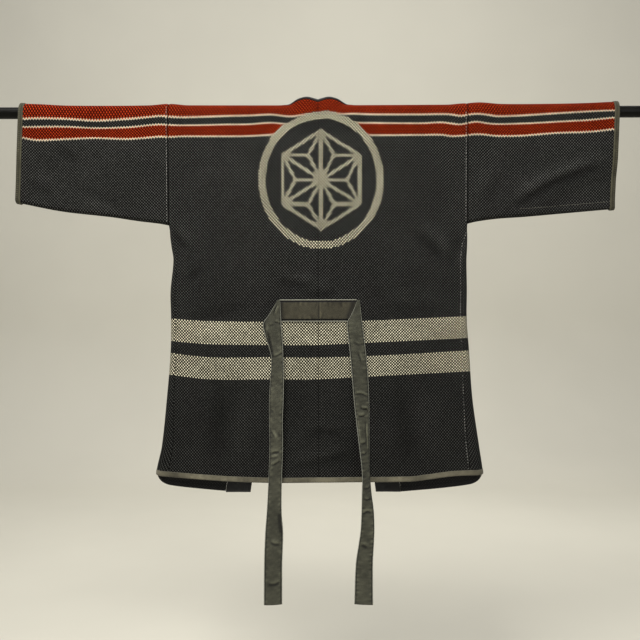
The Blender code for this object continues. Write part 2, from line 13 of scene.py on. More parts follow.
import bpy
import numpy as np
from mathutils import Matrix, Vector


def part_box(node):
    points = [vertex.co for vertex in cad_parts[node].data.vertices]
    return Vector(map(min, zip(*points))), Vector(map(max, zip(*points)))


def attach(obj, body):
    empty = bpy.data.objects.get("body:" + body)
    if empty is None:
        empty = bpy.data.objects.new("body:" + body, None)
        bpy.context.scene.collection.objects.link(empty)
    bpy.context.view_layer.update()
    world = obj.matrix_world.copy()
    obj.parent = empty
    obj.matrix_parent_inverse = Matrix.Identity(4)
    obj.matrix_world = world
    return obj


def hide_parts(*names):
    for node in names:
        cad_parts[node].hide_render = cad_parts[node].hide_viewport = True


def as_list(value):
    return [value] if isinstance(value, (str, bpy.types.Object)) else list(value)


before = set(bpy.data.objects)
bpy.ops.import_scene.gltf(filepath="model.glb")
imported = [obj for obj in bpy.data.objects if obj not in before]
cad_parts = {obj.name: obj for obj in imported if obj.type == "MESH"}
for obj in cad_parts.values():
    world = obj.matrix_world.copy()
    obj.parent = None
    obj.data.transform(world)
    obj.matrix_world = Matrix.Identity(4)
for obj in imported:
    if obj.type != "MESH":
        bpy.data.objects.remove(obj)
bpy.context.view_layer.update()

# Signs of Y and X
BACK, FRONT = -1, 1
LEFT, RIGHT = -1, 1
SIDE_NAMES = {LEFT: "left", RIGHT: "right"}

# Sizes read from the frame
ROD_LOW, ROD_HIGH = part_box("rod")
BELT_LOW, BELT_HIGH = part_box("belt")
ROD_RADIUS = (ROD_HIGH[2] - ROD_LOW[2]) / 2
BELT_LEFT, BELT_RIGHT = BELT_LOW[0], BELT_HIGH[0]
BELT_BOTTOM, BELT_TOP = BELT_LOW[2], BELT_HIGH[2]
BELT_WIDTH = BELT_TOP - BELT_BOTTOM

# Cloth thicknesses, and the gaps between pieces
CLOTH, COLLAR_CLOTH, BINDING_CLOTH, BELT_CLOTH = 0.0026, 0.0040, 0.0042, 0.0020
ROD_CLEARANCE = 0.0007
LAID_ON_GAP = 0.0003
SEAM_GAP = 0.0002

# The cut of the coat, as it hangs
SHOULDER_HALF_WIDTH = 0.324
NECK_HALF_WIDTH = 0.078
HEM_BINDING = 0.012
HEM_TUCK = 0.003
HEM_LEVEL = -0.790
UNDERARM_DEPTH = 0.0095
SIDE_BLEND = 0.16
SEAM_SHIFT_LENGTH = 0.05
FRONT_EDGE_FOOT = -0.832
FRONT_EDGE_AT_HEM = {LEFT: 0.206, RIGHT: 0.181}

# The cloth's middle surface lies on this circle round the rod's axis
WRAP_RADIUS = ROD_RADIUS + ROD_CLEARANCE + CLOTH / 2
WRAP_QUARTER = WRAP_RADIUS * math.pi / 2

# Cuffs
CUFF_BINDING = 0.011
CUFF_TUCK = 0.004
CUFF_PROUD = (BINDING_CLOTH - CLOTH) / 2
CUFF_OUT = {LEFT: 0.6465, RIGHT: 0.6525}
CUFF_LEAN = {LEFT: 0.0096, RIGHT: -0.0075}
CUFF_HEIGHT = 0.21

# The crease across the back of the right sleeve, below which the cloth turns in
CREASE_FROM, CREASE_TO = 0.40, 0.64
CREASE_LOW, CREASE_HIGH = -0.215, -0.105
CREASE_TURN = 0.0055
CREASE_SOFTNESS = 0.05

# The collar
COLLAR_WIDTH = 0.055
COLLAR_LIFT = 0.0010
COLLAR_PROUD = 0.0011
COLLAR_ROOM, COLLAR_ROOM_FROM = 0.0010, 0.30
COLLAR_CORNER, COLLAR_CORNER_FROM = 0.0012, 0.050
COLLAR_RISE = 0.0080
COLLAR_ROLL = 0.0070
COLLAR_PULL = 0.35
COLLAR_FREE_DROP = 0.012
COLLAR_SETTLES = 0.12
COLLAR_STRAIGHTENS = 0.20
COLLAR_QUILTING = (0.0135, 0.0275, 0.0415)

# The back neck, below which the cloth lies flat again
NECK_FADE = 0.030
NECK_STANDS_TO = 0.040
NECK_BULGE = 0.0016

TIE_WIDTH = 0.040

Crease = namedtuple("Crease", "width depth ridge path")


def table(fields, *rows):
    """A table's columns by name, in metres, from rows in millimetres. The first column is the key."""
    return dict(zip(fields.split(), np.array(rows).T / 1000))


def creases(*rows):
    """Creases as soft troughs, from rows in millimetres.

    A row holds the trough's half width and depth, the height of the soft ridge along its left side,
    and then its path's places, each across and up.
    """
    made = []
    for row in rows:
        width, depth, ridge, *path = np.array(row) / 1000
        made.append(Crease(width, depth, ridge, np.reshape(path, (-1, 2))))
    return made


# Where the side folds stand, as distances from the middle of the back
SIDE_FOLDS = table(
    "height left right",
    (-245, 324, 324), (-291, 318.3, 323.1), (-321, 314, 321.6), (-390.5, 320.5, 322.2),
    (-447, 319.4, 321.6), (-523, 320.7, 326.8), (-623, 329, 333.5), (-725, 340, 347.5), (-776, 351, 355),
    (-820, 353, 359),
)

# The lower fold of each sleeve, from the armpit to the cuff
UNDERARMS = table(
    "out left right",
    (324, -245.5, -243.5), (345, -241.5, -238.5), (390, -236, -232.5), (450, -227, -228.5),
    (560, -214, -219), (660, -194, -210.5),
)

# The lower edge of the coat: its height across the back, and how much lower the fronts hang, by
# their distance in from the side fold
BACK_HEM = table(
    "across height",
    (-350, -786.8), (-295, -791), (-204, -797), (-106, -801.2), (0, -800.8), (194, -799.2), (232, -795),
    (293, -788.6), (360, -786.8),
)
FRONT_HEM_DROP = table(
    "inward height",
    (0, 0), (2, -10), (6, -18.5), (12, -24), (22, -28), (50, -32.5), (110, -39), (180, -45),
)

# How far the cloth's middle surface hangs from the plane of the rod's axis, and its side fold
DEPTHS = table(
    "height side back front fold_radius seam_inset",
    (0, 14.5, 14.5, 14.5, 8, 0), (-150, 12, 16.5, 16.5, 8, 0), (-240, 9.5, 18, 17.5, 8, 0),
    (-300, 10.5, 18.5, 17.8, 9, 9), (-450, 13, 19.5, 18.5, 12, 11), (-620, 17, 23, 20, 15, 17),
    (-720, 19, 25, 21, 17, 26), (-840, 20.5, 27.5, 22, 18, 31),
)

# The back neck stands above the rod in two humps beside the middle seam
NECK_EDGE = table(
    "out rise lean",
    (0, 19, -12.5), (11, 22.5, -13), (24, 25.5, -13.5), (40, 23, -12), (58, 18, -7), (70, 15.5, -2),
    (78, 14.5, 0),
)

# The collar's free edge round the neck, from the middle of the back to the shoulder
COLLAR_FREE_EDGE = table(
    "seam_out out depth height",
    (0, 0, 33, 21.5), (11, 6, 32.8, 22), (24, 12, 31.8, 20.5), (40, 17, 30, 17), (58, 20, 28, 12),
    (70, 22, 25.5, 5), (78, 23, 23, -4),
)

# How far the cloth stands off the top of the rod
OVER_ROD = table(
    "across rise",
    (-660, 5), (-610, 3.6), (-540, 0), (-370, 0), (-324, 3.4), (-280, 0), (280, 0), (308, 2.4), (328, 3.6),
    (354, 5), (400, 1.4), (520, 1.6), (590, 3.2), (640, 5.4), (670, 5.6),
)

# The two ties, and how far each edge stands off the back
TIE_FIELDS = "height left right left_out right_out"
TIES = {
    LEFT: table(
        TIE_FIELDS,
        (-409, -87.2, -82, 2.4, 2.4), (-425, -96.5, -81.1, 2.6, 2.6), (-443, -108, -80.3, 2.8, 2.8),
        (-460, -119, -79.2, 2.6, 3), (-480, -116, -77.7, 2.2, 3), (-506, -108, -76, 1.2, 4),
        (-534, -101.3, -75.1, 0.6, 6), (-577, -103.5, -74, 0.6, 9), (-623, -105.9, -74.6, 0.6, 11),
        (-668, -105.9, -76.4, 0.6, 11), (-725, -105.2, -76, 0.6, 10), (-790, -107.4, -78.3, 1, 9),
        (-859, -110.9, -79, 4, 8), (-907, -114.6, -76, 6, 6), (-970, -116.8, -78.1, 8, 5),
        (-1059, -117.6, -78.6, 9, 4),
    ),
    RIGHT: table(
        TIE_FIELDS,
        (-409.5, 83.8, 89.2, 2.4, 2.4), (-425, 77.7, 90.5, 2.6, 2.6), (-443, 69.4, 92.4, 2.8, 2.8),
        (-459, 61.4, 94.4, 2.8, 2.8), (-501, 65.1, 99.6, 3, 1), (-562, 70.5, 105.7, 4, 0.6),
        (-623, 75.1, 108.5, 7, 0.6), (-684, 81.6, 108.5, 13, 0.6), (-729, 86.6, 108.7, 19, 0.6),
        (-766, 90.7, 108.5, 23, 0.8), (-790, 91.8, 109.8, 23, 1), (-825, 90.9, 112.8, 20, 3),
        (-859, 90.3, 117.2, 15, 5), (-896, 88.8, 118.5, 11, 6), (-931, 84.4, 117.2, 8, 7),
        (-970, 78.6, 115, 6, 8), (-1059, 75.1, 115, 4, 9),
    ),
}

# Heights at which the three cream lines of the shoulder hang, across the back
SHOULDER_LINES = table(
    "across upper_line middle_line lower_line",
    (-640, -17.5, -34, -56.5), (-605, -16, -33.5, -62.5), (-547, -17.5, -33.5, -60.5),
    (-480, -21.5, -36.5, -58), (-410, -18, -35, -60.5), (-360, -13.5, -30, -57), (-341, -11.5, -29, -55.5),
    (-318, -13.5, -30.5, -56.5), (-290, -14.5, -31, -55), (-191, -12, -30, -55.5), (-145, -11, -29.5, -55),
    (-100, -9, -26, -53), (-68, -12.5, -29, -52.5), (55, -7, -27, -53.5), (110, -9, -27, -54),
    (221, -9.5, -28, -53.5), (267, -9, -26, -53), (286, -9.5, -28.5, -56), (308, -13, -30.5, -55.5),
    (326, -10, -27, -53.5), (345, -8.5, -25, -52), (365, -10.5, -28.5, -53.5), (388, -14, -30, -56),
    (439, -12.5, -29, -55.5), (511, -8, -26, -50), (588, -3.5, -21.5, -47), (641, -1.5, -16.5, -41.5),
)

# Heights of the two waist bands' edges, across the back
WAIST_BANDS = table(
    "across first_band_top first_band_foot second_band_top second_band_foot",
    (-319, -448.5, -495.8, -523.1, -571.7), (-234, -453.9, -502.5, -531.8, -581),
    (-104, -455.9, -504.7, -532.1, -581.3), (-9, -456.5, -504.9, -532.9, -581.5),
    (106, -454, -500.2, -530.2, -575.7), (321, -444.7, -490.5, -519.1, -565.6),
)

# The creases, and the height of relief that is painted with full shade and highlight. The fold down the
# middle of the back neck lies mostly where creases don't move the cloth, so it is mostly painted shade
BODY_CREASES = {
    BACK: creases(
        (8, 2.2, 1, -320, -250, -300, -279, -279, -303), (20, 2, 0, -276, -343, -260, -362),
        (11, 2, 1.2, 200, -258, 244, -290, 279, -336), (12, 1.5, 0.8, 318, -262, 290, -300, 283, -350),
        (9, 1.7, 0.9, -96, -362, -50, -380, 6, -376), (10, 1.8, 0.6, -50, -393, 4, -401, 46, -390),
        (7, 1.4, 0.6, -42, -500, -24, -511, 4, -523), (9, 1.3, 0.5, -34, -705, 12, -691, 60, -702),
        (9, 1.5, 0.8, -64, -772, 10, -757, 84, -738), (24, 1.6, 0.7, -205, -590, -212, -690, -228, -780),
        (26, 1.6, 0.7, 172, -585, 186, -680, 206, -780), (14, 1, 0.6, -150, -415, -215, -440, -290, -445),
        (14, 1, 0.6, 130, -420, 200, -436, 290, -428), (3.5, 2, 0, 0.5, 24, 0, 6, -1, -10),
        (9, 1, 0.6, -75, -4, -98, -30, -128, -52), (9, 1, 0.6, 78, -4, 104, -34, 140, -56),
    ),
    FRONT: creases(
        (9, 2.4, 1.1, -320, -252, -296, -284, -268, -312), (9, 2.4, 1.1, 320, -250, 298, -286, 262, -322),
        (15, 2, 0.9, -118, -40, -150, -140, -168, -260), (15, 1.8, 0.9, 124, -50, 148, -150, 160, -280),
        (12, 1.5, 0.7, -170, -380, -215, -400, -270, -392), (12, 1.5, 0.7, 160, -402, 205, -424, 262, -420),
        (22, 2, 1, -236, -560, -240, -680, -262, -800), (22, 2, 1, 230, -560, 244, -680, 252, -800),
        (10, 1.3, 0.6, 210, -200, 250, -232, 292, -236),
    ),
}
SLEEVE_CREASES = {
    BACK: creases(
        (10, 4.2, 2.1, 412, -214, 469, -183, 516, -155, 588, -130, 632, -112),
        (13, 1, 0.6, 350, -206, 382, -170, 400, -120), (10, 1.4, 0.7, -417, -210, -470, -184, -526, -160),
        (26, 1.8, 0, -528, -84, -546, -110), (12, 1.2, 0.6, -640, -150, -600, -172, -560, -176),
    ),
    FRONT: creases(
        (11, 2.4, 1.2, -400, -208, -470, -170, -556, -142, -622, -120),
        (10, 1.6, 0.8, 404, -206, 462, -184, 530, -168), (24, 1.6, 0, 536, -88, 560, -118),
        (14, 1.2, 0.5, -350, -190, -378, -150),
    ),
}
TIE_CREASES = creases(
    (2, 2, 0, -111, -468, -108.2, -482, -101, -511, -96, -534),
    (1.8, 0.7, 0.5, -112.5, -455, -115, -470, -110, -500),
    (1.4, 1.4, 0.9, -88, -419, -92.5, -429, -96, -440), (1.5, 1.2, 1, -95, -455, -87, -458, -80, -461),
    (2, 0.6, 0.4, -106, -464, -96, -462), (1.8, 0.7, 0.5, -104, -533, -88, -529, -74, -520),
    (2.2, 1.6, 0.6, -101, -737, -94, -735, -83, -733.5), (1.8, 0.4, 0.8, -104, -748, -93, -745, -84, -742),
    (1.9, 0.9, 0.9, -104, -764, -93, -760, -82, -751), (1.9, 0.6, 0.8, -103.5, -774, -95, -769),
    (1.7, 0.6, 1, -102, -688, -97, -696, -92, -706), (2.2, 0.6, 0.2, -86, -690, -82, -702),
    (1.8, 0.5, 0.3, -106, -640, -94, -652), (4, 1.2, 0.4, -86, -860, -82, -880, -80, -912),
    (2.6, 0.8, 0.5, -106, -925, -92, -932, -82, -928), (3, 0.8, 0.5, -112, -1012, -96, -1018, -80, -1008),
    (2.2, 0.6, 0.4, 74, -500, 90, -508), (2, 0.7, 0.4, 84, -520, 92, -544),
    (2, 1.1, 0.7, 76, -613, 90, -610, 106, -617), (1.9, 1.8, 1, 87, -638.5, 96, -644, 106, -642),
    (1.5, 1.2, 0.8, 101, -641, 106, -650), (1.8, 1.8, 1.4, 83, -657.5, 91, -658, 100, -656),
    (2, 1.4, 0.8, 87, -716, 94, -715.5, 101, -715), (1.9, 1.4, 0.8, 89, -734.5, 96, -738.5, 102, -734),
    (1.2, 1, 0.6, 80, -662, 84, -690, 87, -718), (1.2, 1.2, 1, 100, -664, 100.5, -695, 101.5, -730),
    (2, 1, 0.6, 93, -806, 103, -812, 110, -804), (2, 1, 0.6, 92, -828, 102, -836, 111, -830),
    (2.2, 1, 0.6, 91, -866, 103, -858, 112, -866), (3, 0.9, 0.5, 90, -930, 104, -938),
)
BELT_CREASES = creases(
    (1.6, 0.9, 0.4, 1.2, -409, 0.5, -432, 1.4, -456), (2.2, 0.5, 0.3, -3, -412, -7, -430),
    (2.2, 0.5, 0.3, 6, -455, 12, -436), (2, 0.4, 0.2, 20, -412, 23, -425),
    (2.2, 0.4, 0.3, -12, -455, -17, -440), (2.4, 0.3, 0.2, -42, -411, -44, -424),
    (2.6, 0.4, 0.3, 48, -411, 51, -428),
)
BODY_RELIEF, SLEEVE_RELIEF, BAND_RELIEF = 0.0020, 0.0022, 0.0007

# The weave: staggered stitches this far apart along their rows and from row to like row. On the flat
# cloth the shoulder's lines and the waist's bands lie at these drops from the top of the shoulder.
STITCH_ACROSS, STITCH_DOWN = 0.00620, 0.00668
STITCH_ROW = STITCH_DOWN / 2
STITCH_SLANT = 0.15
LINES = {
    "upper_line": 8.5 * STITCH_ROW,
    "middle_line": 14.5 * STITCH_ROW,
    "lower_line": 22.5 * STITCH_ROW,
}
LINE_WIDTH = 0.0040
LINE_WAVER = 0.0019
BANDS = {
    "first_band_top": 0.4760,
    "first_band_foot": 0.5245,
    "second_band_top": 0.5530,
    "second_band_foot": 0.6010,
}
CLOTH_END = 0.8400

# The ring on the back with a hemp leaf figure in it, on the flat cloth
RING_ACROSS, RING_DOWN = 0.0067, 0.1712
RING_HALF_WIDTH, RING_HALF_HEIGHT = 0.1356, 0.1490
RING_STROKE = 0.0163
LEAF_RADIUS, LEAF_STROKE = 0.0960, 0.0074
LEAF_SECTOR = math.pi / 6

# Soft unevenness of the cloth: the seed of its waves, about how long they are, and their height
BODY_WAVES = (11, 0.130, 0.0006)
SLEEVE_WAVES = (13, 0.110, 0.0005)
PUCKERS = (12, 0.028, 0.00016)
HEM_WAVES, HEM_WEAR = (23, 0.020, 0.00012), (24, 0.110, 1.0)
COLLAR_WAVES = (31, 0.060, 0.0005)
BELT_PUCKERS = (41, 0.0065, 0.00022)
TIE_WAVES, TIE_PUCKERS = (51, 0.030, 0.00035), (61, 0.0062, 0.00042)
WAVE_COUNT = 7
WAVE_SHORTEST, WAVE_LONGEST = 0.6, 1.7

# The waves of the front and back lie this far apart, so that they differ
WAVES_APART, PUCKERS_APART = 0.31, 0.17

# Creases fade out over this share of their path at both ends, and a ridge stands this far beside
# them and is this wide, by the trough's half width
CREASE_FADE, CREASE_AT_END = 0.35, 0.05
RIDGE_OFF, RIDGE_WIDTH = 1.9, 1.4

# The ribs of the bindings: their pitch, height and seed, and how far and how wide they wander, by
# their pitch
CUFF_RIBS = (0.0043, 1.0, 21)
HEM_RIBS = (0.0062, 0.00030, 22)
RIB_WANDER, RIB_WANDER_LENGTH = 0.18, 9

# A cuff's ribbed tape: its outer strip, from this far across, holds the ribs, and its inner strip is
# lifted as a whole, both more to the back and front than up. Its colour gets painted highlight on the
# ribs and painted shade between them, in the groove between the strips and along the edge against the
# sleeve; the outer strip is darker and the inner one lighter, partly their own two tones and partly
# painted light and shade. Near the rod only a share of this shows
CUFF_STRIP_FROM, CUFF_STRIP_SOFTNESS = 0.0036, 0.0016
CUFF_RIB_RISE, CUFF_INNER_RISE = 0.0007, 0.0004
CUFF_LIFT = np.array([0, 1, 0.2])
CUFF_EDGE_SOFTNESS = 0.0022
CUFF_FULL_FROM, CUFF_FULL_SOFTNESS, CUFF_UPPER_SHARE = -0.03, 0.03, 0.35
CUFF_RIB_SHADE, CUFF_STRIP_SHADE, CUFF_INNER_SHADE = 1.6, 1.2, 0.20
CUFF_GROOVE, CUFF_GROOVE_WIDTH, CUFF_GROOVE_SHADE = 0.0040, 0.0010, 0.9
CUFF_END, CUFF_END_WIDTH, CUFF_END_SHADE = 0.0001, 0.0008, 0.5

# The hem's tape: over what widths its ribs come in from its edges and from the side folds, and how
# strongly its uneven wear and the painted shade along its rounded edges show
HEM_EDGE_SOFTNESS, HEM_SIDE_SOFTNESS = 0.0025, 0.01
HEM_WEAR_SHADE, HEM_WEAR_SLANT = 0.25, 0.4
HEM_EDGE_SHADE, HEM_EDGE_SHADE_WIDTH = 0.8, 0.0016

# The collar's quilted lines, how soon past the neck its waves begin, and the half gap in its middle
COLLAR_QUILT_DEPTH, COLLAR_QUILT_WIDTH = 0.0005, 0.0011
COLLAR_CALM = 0.05
COLLAR_MIDDLE_GAP = 0.0001

# The band across the back: its grooves inside both edges, how far its puckers reach, its corners and
# gathered middle, which get painted shade, and how strongly these, the puckers and the ties' waves are
# painted as shade
BELT_GROOVE, BELT_GROOVE_WIDTH, BELT_GROOVE_DEPTH = 0.0036, 0.0017, 0.0016
BELT_PUCKER_REACH, BELT_PUCKER_SLANT = 0.013, 0.3
BELT_END_GAP = 0.0005
BELT_LEFT_CORNER, BELT_LEFT_CORNER_WIDTH = -0.0805, 0.0050
BELT_RIGHT_CORNER, BELT_RIGHT_CORNER_WIDTH, BELT_RIGHT_CORNER_SLANT = 0.0780, 0.0060, 0.35
BELT_GATHER, BELT_GATHER_WIDTH = 0.0012, 0.0022
CORNER_SHADE, GATHER_SHADE, PUCKER_SHADE, WAVE_SHADE = 1.1, 0.6, 0.9, 0.2

# The ties: the narrowest that one gets, the width that its steps and groove are drawn for, its groove
# and bow, how its creases and puckers come in by shares of its length, and where its inner columns
# lie by shares of its width
TIE_NARROWEST, TIE_DRAWN_WIDTH = 0.004, 0.030
TIE_GROOVE, TIE_GROOVE_WIDTH, TIE_GROOVE_DEPTH = 0.0024, 0.0008, 0.00055
TIE_BOW = 0.0016
TIE_CREASE_DEPTH = 1.4
TIE_PUCKER_REACH, TIE_PUCKER_SLANT, TIE_PUCKER_LEAST = 0.007, 0.4, 0.25
TIE_PUCKERS_FROM, TIE_PUCKERS_OVER = 0.02, 0.1
TIE_BOWS_FROM, TIE_BOWS_OVER = 0.1, 0.3
TIE_INNER_FROM, TIE_INNER_TO = 0.18, 0.82
TIE_END_GAP = 0.0001

# How finely the pieces are divided: steps in from an edge, and counts of rows and columns
EDGE_STEPS = np.array([0.0, 0.3, 0.8, 1.5, 2.5, 4.0, 5.8, 8.0, 10.4, 13.0, 16.0, 19.5, 23.5, 27.5]) / 1000
NECK_STEPS = np.array([6.0, 4.2, 2.8, 1.8, 1.0, 0.4, -0.3]) / 1000
ARMPIT_STEPS = np.array([8.0, 6.2, 4.6, 3.2, 2.0, 1.0, 0.4]) / 1000
ARMHOLE_STEPS = np.array([0.0, 0.4, 1.0, 2.0, 3.6, 5.8]) / 1000
ARMPIT_ROOM, ARMHOLE_ROOM = 0.0100, 0.0090
INNER_COLUMNS = 52
NECK_COLUMNS = 19
WRAP_ROWS = 9
UPPER_ROWS = 50
LOWER_ROWS = 128
SLEEVE_COLUMNS = 70
SLEEVE_WALL_ROWS = 50
SLEEVE_FOLD_ROWS = 8
CUFF_SPACING, HEM_SPACING, HEM_SHORTEST = 0.0011, 0.0016, 0.0002
COLLAR_NECK_ROWS, COLLAR_WRAP_ROWS, COLLAR_FRONT_ROWS = 26, 8, 169
BELT_COLUMNS = 90
TIE_ROWS, TIE_INNER_COLUMNS = 300, 11

# Sewn edges: how deep the seams sink, over what width, how thin the cloth gets there, where its own
# waves begin, and the least distance that points on a sewn edge or fold are given
SEAM_DEPTH = 0.0010
SEAM_SOFTNESS = 0.0032
THINNEST_EDGE = 0.12
WAVES_FROM = 0.014
FAR_IN = 1.0
NECK_EDGE_LEAST, MIDDLE_EDGE_LEAST, FOLD_EDGE_LEAST = 0.0004, 0.0003, 0.0006
FREE_BELOW_ROD = 0.035
SLEEVE_CALM, CUFF_CALM, CALM_AT_CUFF = 0.02, 0.05, 0.2


def clamp(value, low=0.0, high=1.0):
    return np.clip(value, low, high)


def smooth(share):
    share = clamp(share)
    return share * share * (3 - 2 * share)


def mix(a, b, share):
    return a + (b - a) * share


def bell(off, width):
    """1 in the middle, and falling off smoothly to both sides."""
    return np.exp(-((off / width) ** 2))


def column(*values):
    """Values as a column, to be spread over the columns of a grid."""
    return np.array(values, dtype=float).reshape(-1, 1)


def joined(*parts, axis=0):
    return np.concatenate(parts, axis)


def to_nearest(steps, width):
    """The distance from the nearer edge of a strip."""
    return np.minimum(steps, width - steps)


def curve_through(rows, name, at):
    """A table's column at values of its key, on a smooth curve through the rows."""
    keys, values = next(iter(rows.values())), rows[name]
    if keys[0] > keys[-1]:
        keys, values = keys[::-1], values[::-1]
    at = clamp(at, keys[0], keys[-1])
    index = clamp(np.searchsorted(keys, at, side="right") - 1, 0, len(keys) - 2)
    low = np.maximum(np.arange(len(keys)) - 1, 0)
    high = np.minimum(np.arange(len(keys)) + 1, len(keys) - 1)
    slopes = (values[high] - values[low]) / (keys[high] - keys[low])
    span = keys[index + 1] - keys[index]
    share = (at - keys[index]) / span
    rise = values[index + 1] - values[index]
    leave, arrive = slopes[index] * span, slopes[index + 1] * span
    return (
        values[index]
        + share * leave
        + share**2 * (3 * rise - 2 * leave - arrive)
        + share**3 * (leave + arrive - 2 * rise)
    )


def side_fold(side, height):
    """How far the side fold stands from the middle of the back."""
    return curve_through(SIDE_FOLDS, SIDE_NAMES[side], height)


def underarm(side, out):
    """The height of the sleeve's lower fold."""
    return curve_through(UNDERARMS, SIDE_NAMES[side], out)


def armpit(side):
    return float(underarm(side, SHOULDER_HALF_WIDTH))


def hanging(name, height):
    return curve_through(DEPTHS, name, height)


def fold_roundness(distance, radius):
    """0 on a fold's edge and 1 past its rounded part, as a quarter circle."""
    return np.sqrt(1 - (1 - clamp(distance / radius)) ** 2)


def sleeve_depth(side, out, height):
    """How far the sleeve's wall hangs from the rod's plane, before its lower fold is rounded."""
    return mix(WRAP_RADIUS, UNDERARM_DEPTH, smooth(height / underarm(side, out)))


def cuff_turn(side, out, height):
    """How far the back of the right sleeve turns in below the crease that runs up to its cuff."""
    if side == LEFT:
        return 0.0
    along = (out - CREASE_FROM) / (CREASE_TO - CREASE_FROM)
    crease = mix(CREASE_LOW, CREASE_HIGH, smooth(along))
    return CREASE_TURN * smooth((crease - height) / CREASE_SOFTNESS) * smooth(2 * along)


def body_depth(side, face, out, height):
    """How far the body's wall hangs from the rod's plane, before its side fold is rounded."""
    above = height > armpit(side)
    edge = np.where(above, sleeve_depth(side, SHOULDER_HALF_WIDTH, height), hanging("side", height))
    reach = np.where(above, SHOULDER_HALF_WIDTH, side_fold(side, height)) - out
    middle = np.where(np.equal(face, BACK), hanging("back", height), hanging("front", height))
    return mix(edge, middle, smooth(reach / SIDE_BLEND))


def edge_distance(side, out, height):
    """How far a point of the body lies from the side fold, or from the armpit above it."""
    to_armpit = np.hypot(SHOULDER_HALF_WIDTH - out, height - armpit(side))
    return np.where(height > armpit(side), to_armpit, side_fold(side, height) - out)


def crease_relief(some, across, height):
    """How far creases move the cloth out, at places on the face that they are on."""
    across, height = np.broadcast_arrays(across, height)
    total = np.zeros(across.shape)
    for crease in some:
        path = crease.path
        for _ in range(2):
            cut = np.stack([mix(path[:-1], path[1:], 0.25), mix(path[:-1], path[1:], 0.75)], 1)
            path = np.vstack([path[:1], cut.reshape(-1, 2), path[-1:]])
        nearest = np.full(total.shape, np.inf)
        offset, along, walked = np.zeros(total.shape), np.zeros(total.shape), 0.0
        for start, step in zip(path[:-1], np.diff(path, axis=0)):
            length = np.hypot(*step)
            to_x, to_z = across - start[0], height - start[1]
            share = clamp((to_x * step[0] + to_z * step[1]) / length**2)
            distance = np.hypot(to_x - step[0] * share, to_z - step[1] * share)
            closer = distance < nearest
            nearest = np.where(closer, distance, nearest)
            offset = np.where(closer, np.copysign(distance, step[0] * to_z - step[1] * to_x), offset)
            along = np.where(closer, walked + share * length, along)
            walked += length
        along = along / walked
        from_start, from_end = (smooth(part / CREASE_FADE + CREASE_AT_END) for part in (along, 1 - along))
        ridge = bell(offset - RIDGE_OFF * crease.width, RIDGE_WIDTH * crease.width)
        total += from_start * from_end * (crease.ridge * ridge - crease.depth * bell(offset, crease.width))
    return total


def soft_waves(across, height, seed, size, rise):
    """Gentle unevenness of cloth that hangs free: a few crossing waves of about one size."""
    chance = np.random.default_rng(seed)
    across, height = np.broadcast_arrays(across, height)
    total = np.zeros(across.shape)
    for _ in range(WAVE_COUNT):
        angle = chance.uniform(0, 2 * math.pi)
        length = size * chance.uniform(WAVE_SHORTEST, WAVE_LONGEST)
        phase = chance.uniform(0, 2 * math.pi)
        along = across * math.cos(angle) + height * math.sin(angle)
        total += np.sin(2 * math.pi / length * along + phase)
    return rise * total / math.sqrt(WAVE_COUNT)


def relief_on(both_creases, face, across, height):
    """How far the creases move the cloth out, on whichever face each place is."""
    on_back, on_front = (crease_relief(both_creases[one], across, height) for one in (BACK, FRONT))
    return np.where(np.equal(face, BACK), on_back, on_front)


def cloth_relief(both_creases, waves, face, across, height):
    """How far the cloth stands off its plain drape."""
    swell = soft_waves(across, height + WAVES_APART * face, *waves)
    puckers = soft_waves(across, height + PUCKERS_APART * face, *PUCKERS)
    return relief_on(both_creases, face, across, height) + swell + puckers


def hangs_free(height):
    """0 where the cloth lies on the rod, and 1 a little below it."""
    return smooth(-height / FREE_BELOW_ROD)


def body_point(side, face, out, height):
    """Points on the body's middle surface below the rod."""
    distance = edge_distance(side, out, height)
    roundness = fold_roundness(distance, hanging("fold_radius", height))
    relief = cloth_relief(BODY_CREASES, BODY_WAVES, face, side * out, height)
    relief = relief * hangs_free(height) * smooth(distance / WAVES_FROM)
    depth = body_depth(side, face, out, height) * roundness + relief
    return np.stack(np.broadcast_arrays(side * out, face * depth, height), -1)


def clear_of_rod(points, radius):
    """Points moved out to a circle round the rod if they lie inside it."""
    distance = np.hypot(points[..., 1], points[..., 2])
    grow = np.maximum(radius / np.maximum(distance, 1e-9), 1.0)
    return np.stack([points[..., 0], points[..., 1] * grow, points[..., 2] * grow], -1)


def over_rod(across, upright):
    """How far cloth is lifted at a place along the rod, upright being 1 at its top and 0 beside it."""
    return curve_through(OVER_ROD, "rise", across) * np.maximum(upright, 0.0) ** 1.5


def shoulder_point(side, face, out, drop):
    """Points on the cloth as it wraps the rod, drop being their way down from the top of the rod."""
    below = body_point(side, face, out, np.minimum(WRAP_QUARTER - drop, 0.0))
    angle = np.minimum(drop, WRAP_QUARTER) / WRAP_RADIUS
    x, upright = side * out, np.cos(angle)
    wrapped = (x, face * WRAP_RADIUS * np.sin(angle), WRAP_RADIUS * upright + over_rod(x, upright))
    return np.where((drop >= WRAP_QUARTER)[..., None], below, np.stack(np.broadcast_arrays(*wrapped), -1))


def back_point(side, out, drop):
    """Points on the back, where the cloth below the neck stands up past the rod."""
    out, drop = np.broadcast_arrays(out, drop)
    plain = shoulder_point(side, BACK, out, drop)
    reach = drop / (WRAP_QUARTER + NECK_FADE)
    foot = body_point(side, BACK, out, np.full(out.shape, -NECK_FADE))
    bulge = BACK * NECK_BULGE * np.sin(math.pi * clamp(reach))
    laid = smooth((out - NECK_STANDS_TO) / (NECK_HALF_WIDTH - NECK_STANDS_TO))
    y = mix(curve_through(NECK_EDGE, "lean", out), foot[..., 1], reach) + bulge
    z = mix(curve_through(NECK_EDGE, "rise", out), foot[..., 2], reach)
    raised = np.stack([plain[..., 0], mix(y, plain[..., 1], laid), mix(z, plain[..., 2], laid)], -1)
    under_neck = (out < NECK_HALF_WIDTH) & (drop <= WRAP_QUARTER + NECK_FADE)
    return np.where(under_neck[..., None], clear_of_rod(raised, WRAP_RADIUS), plain)


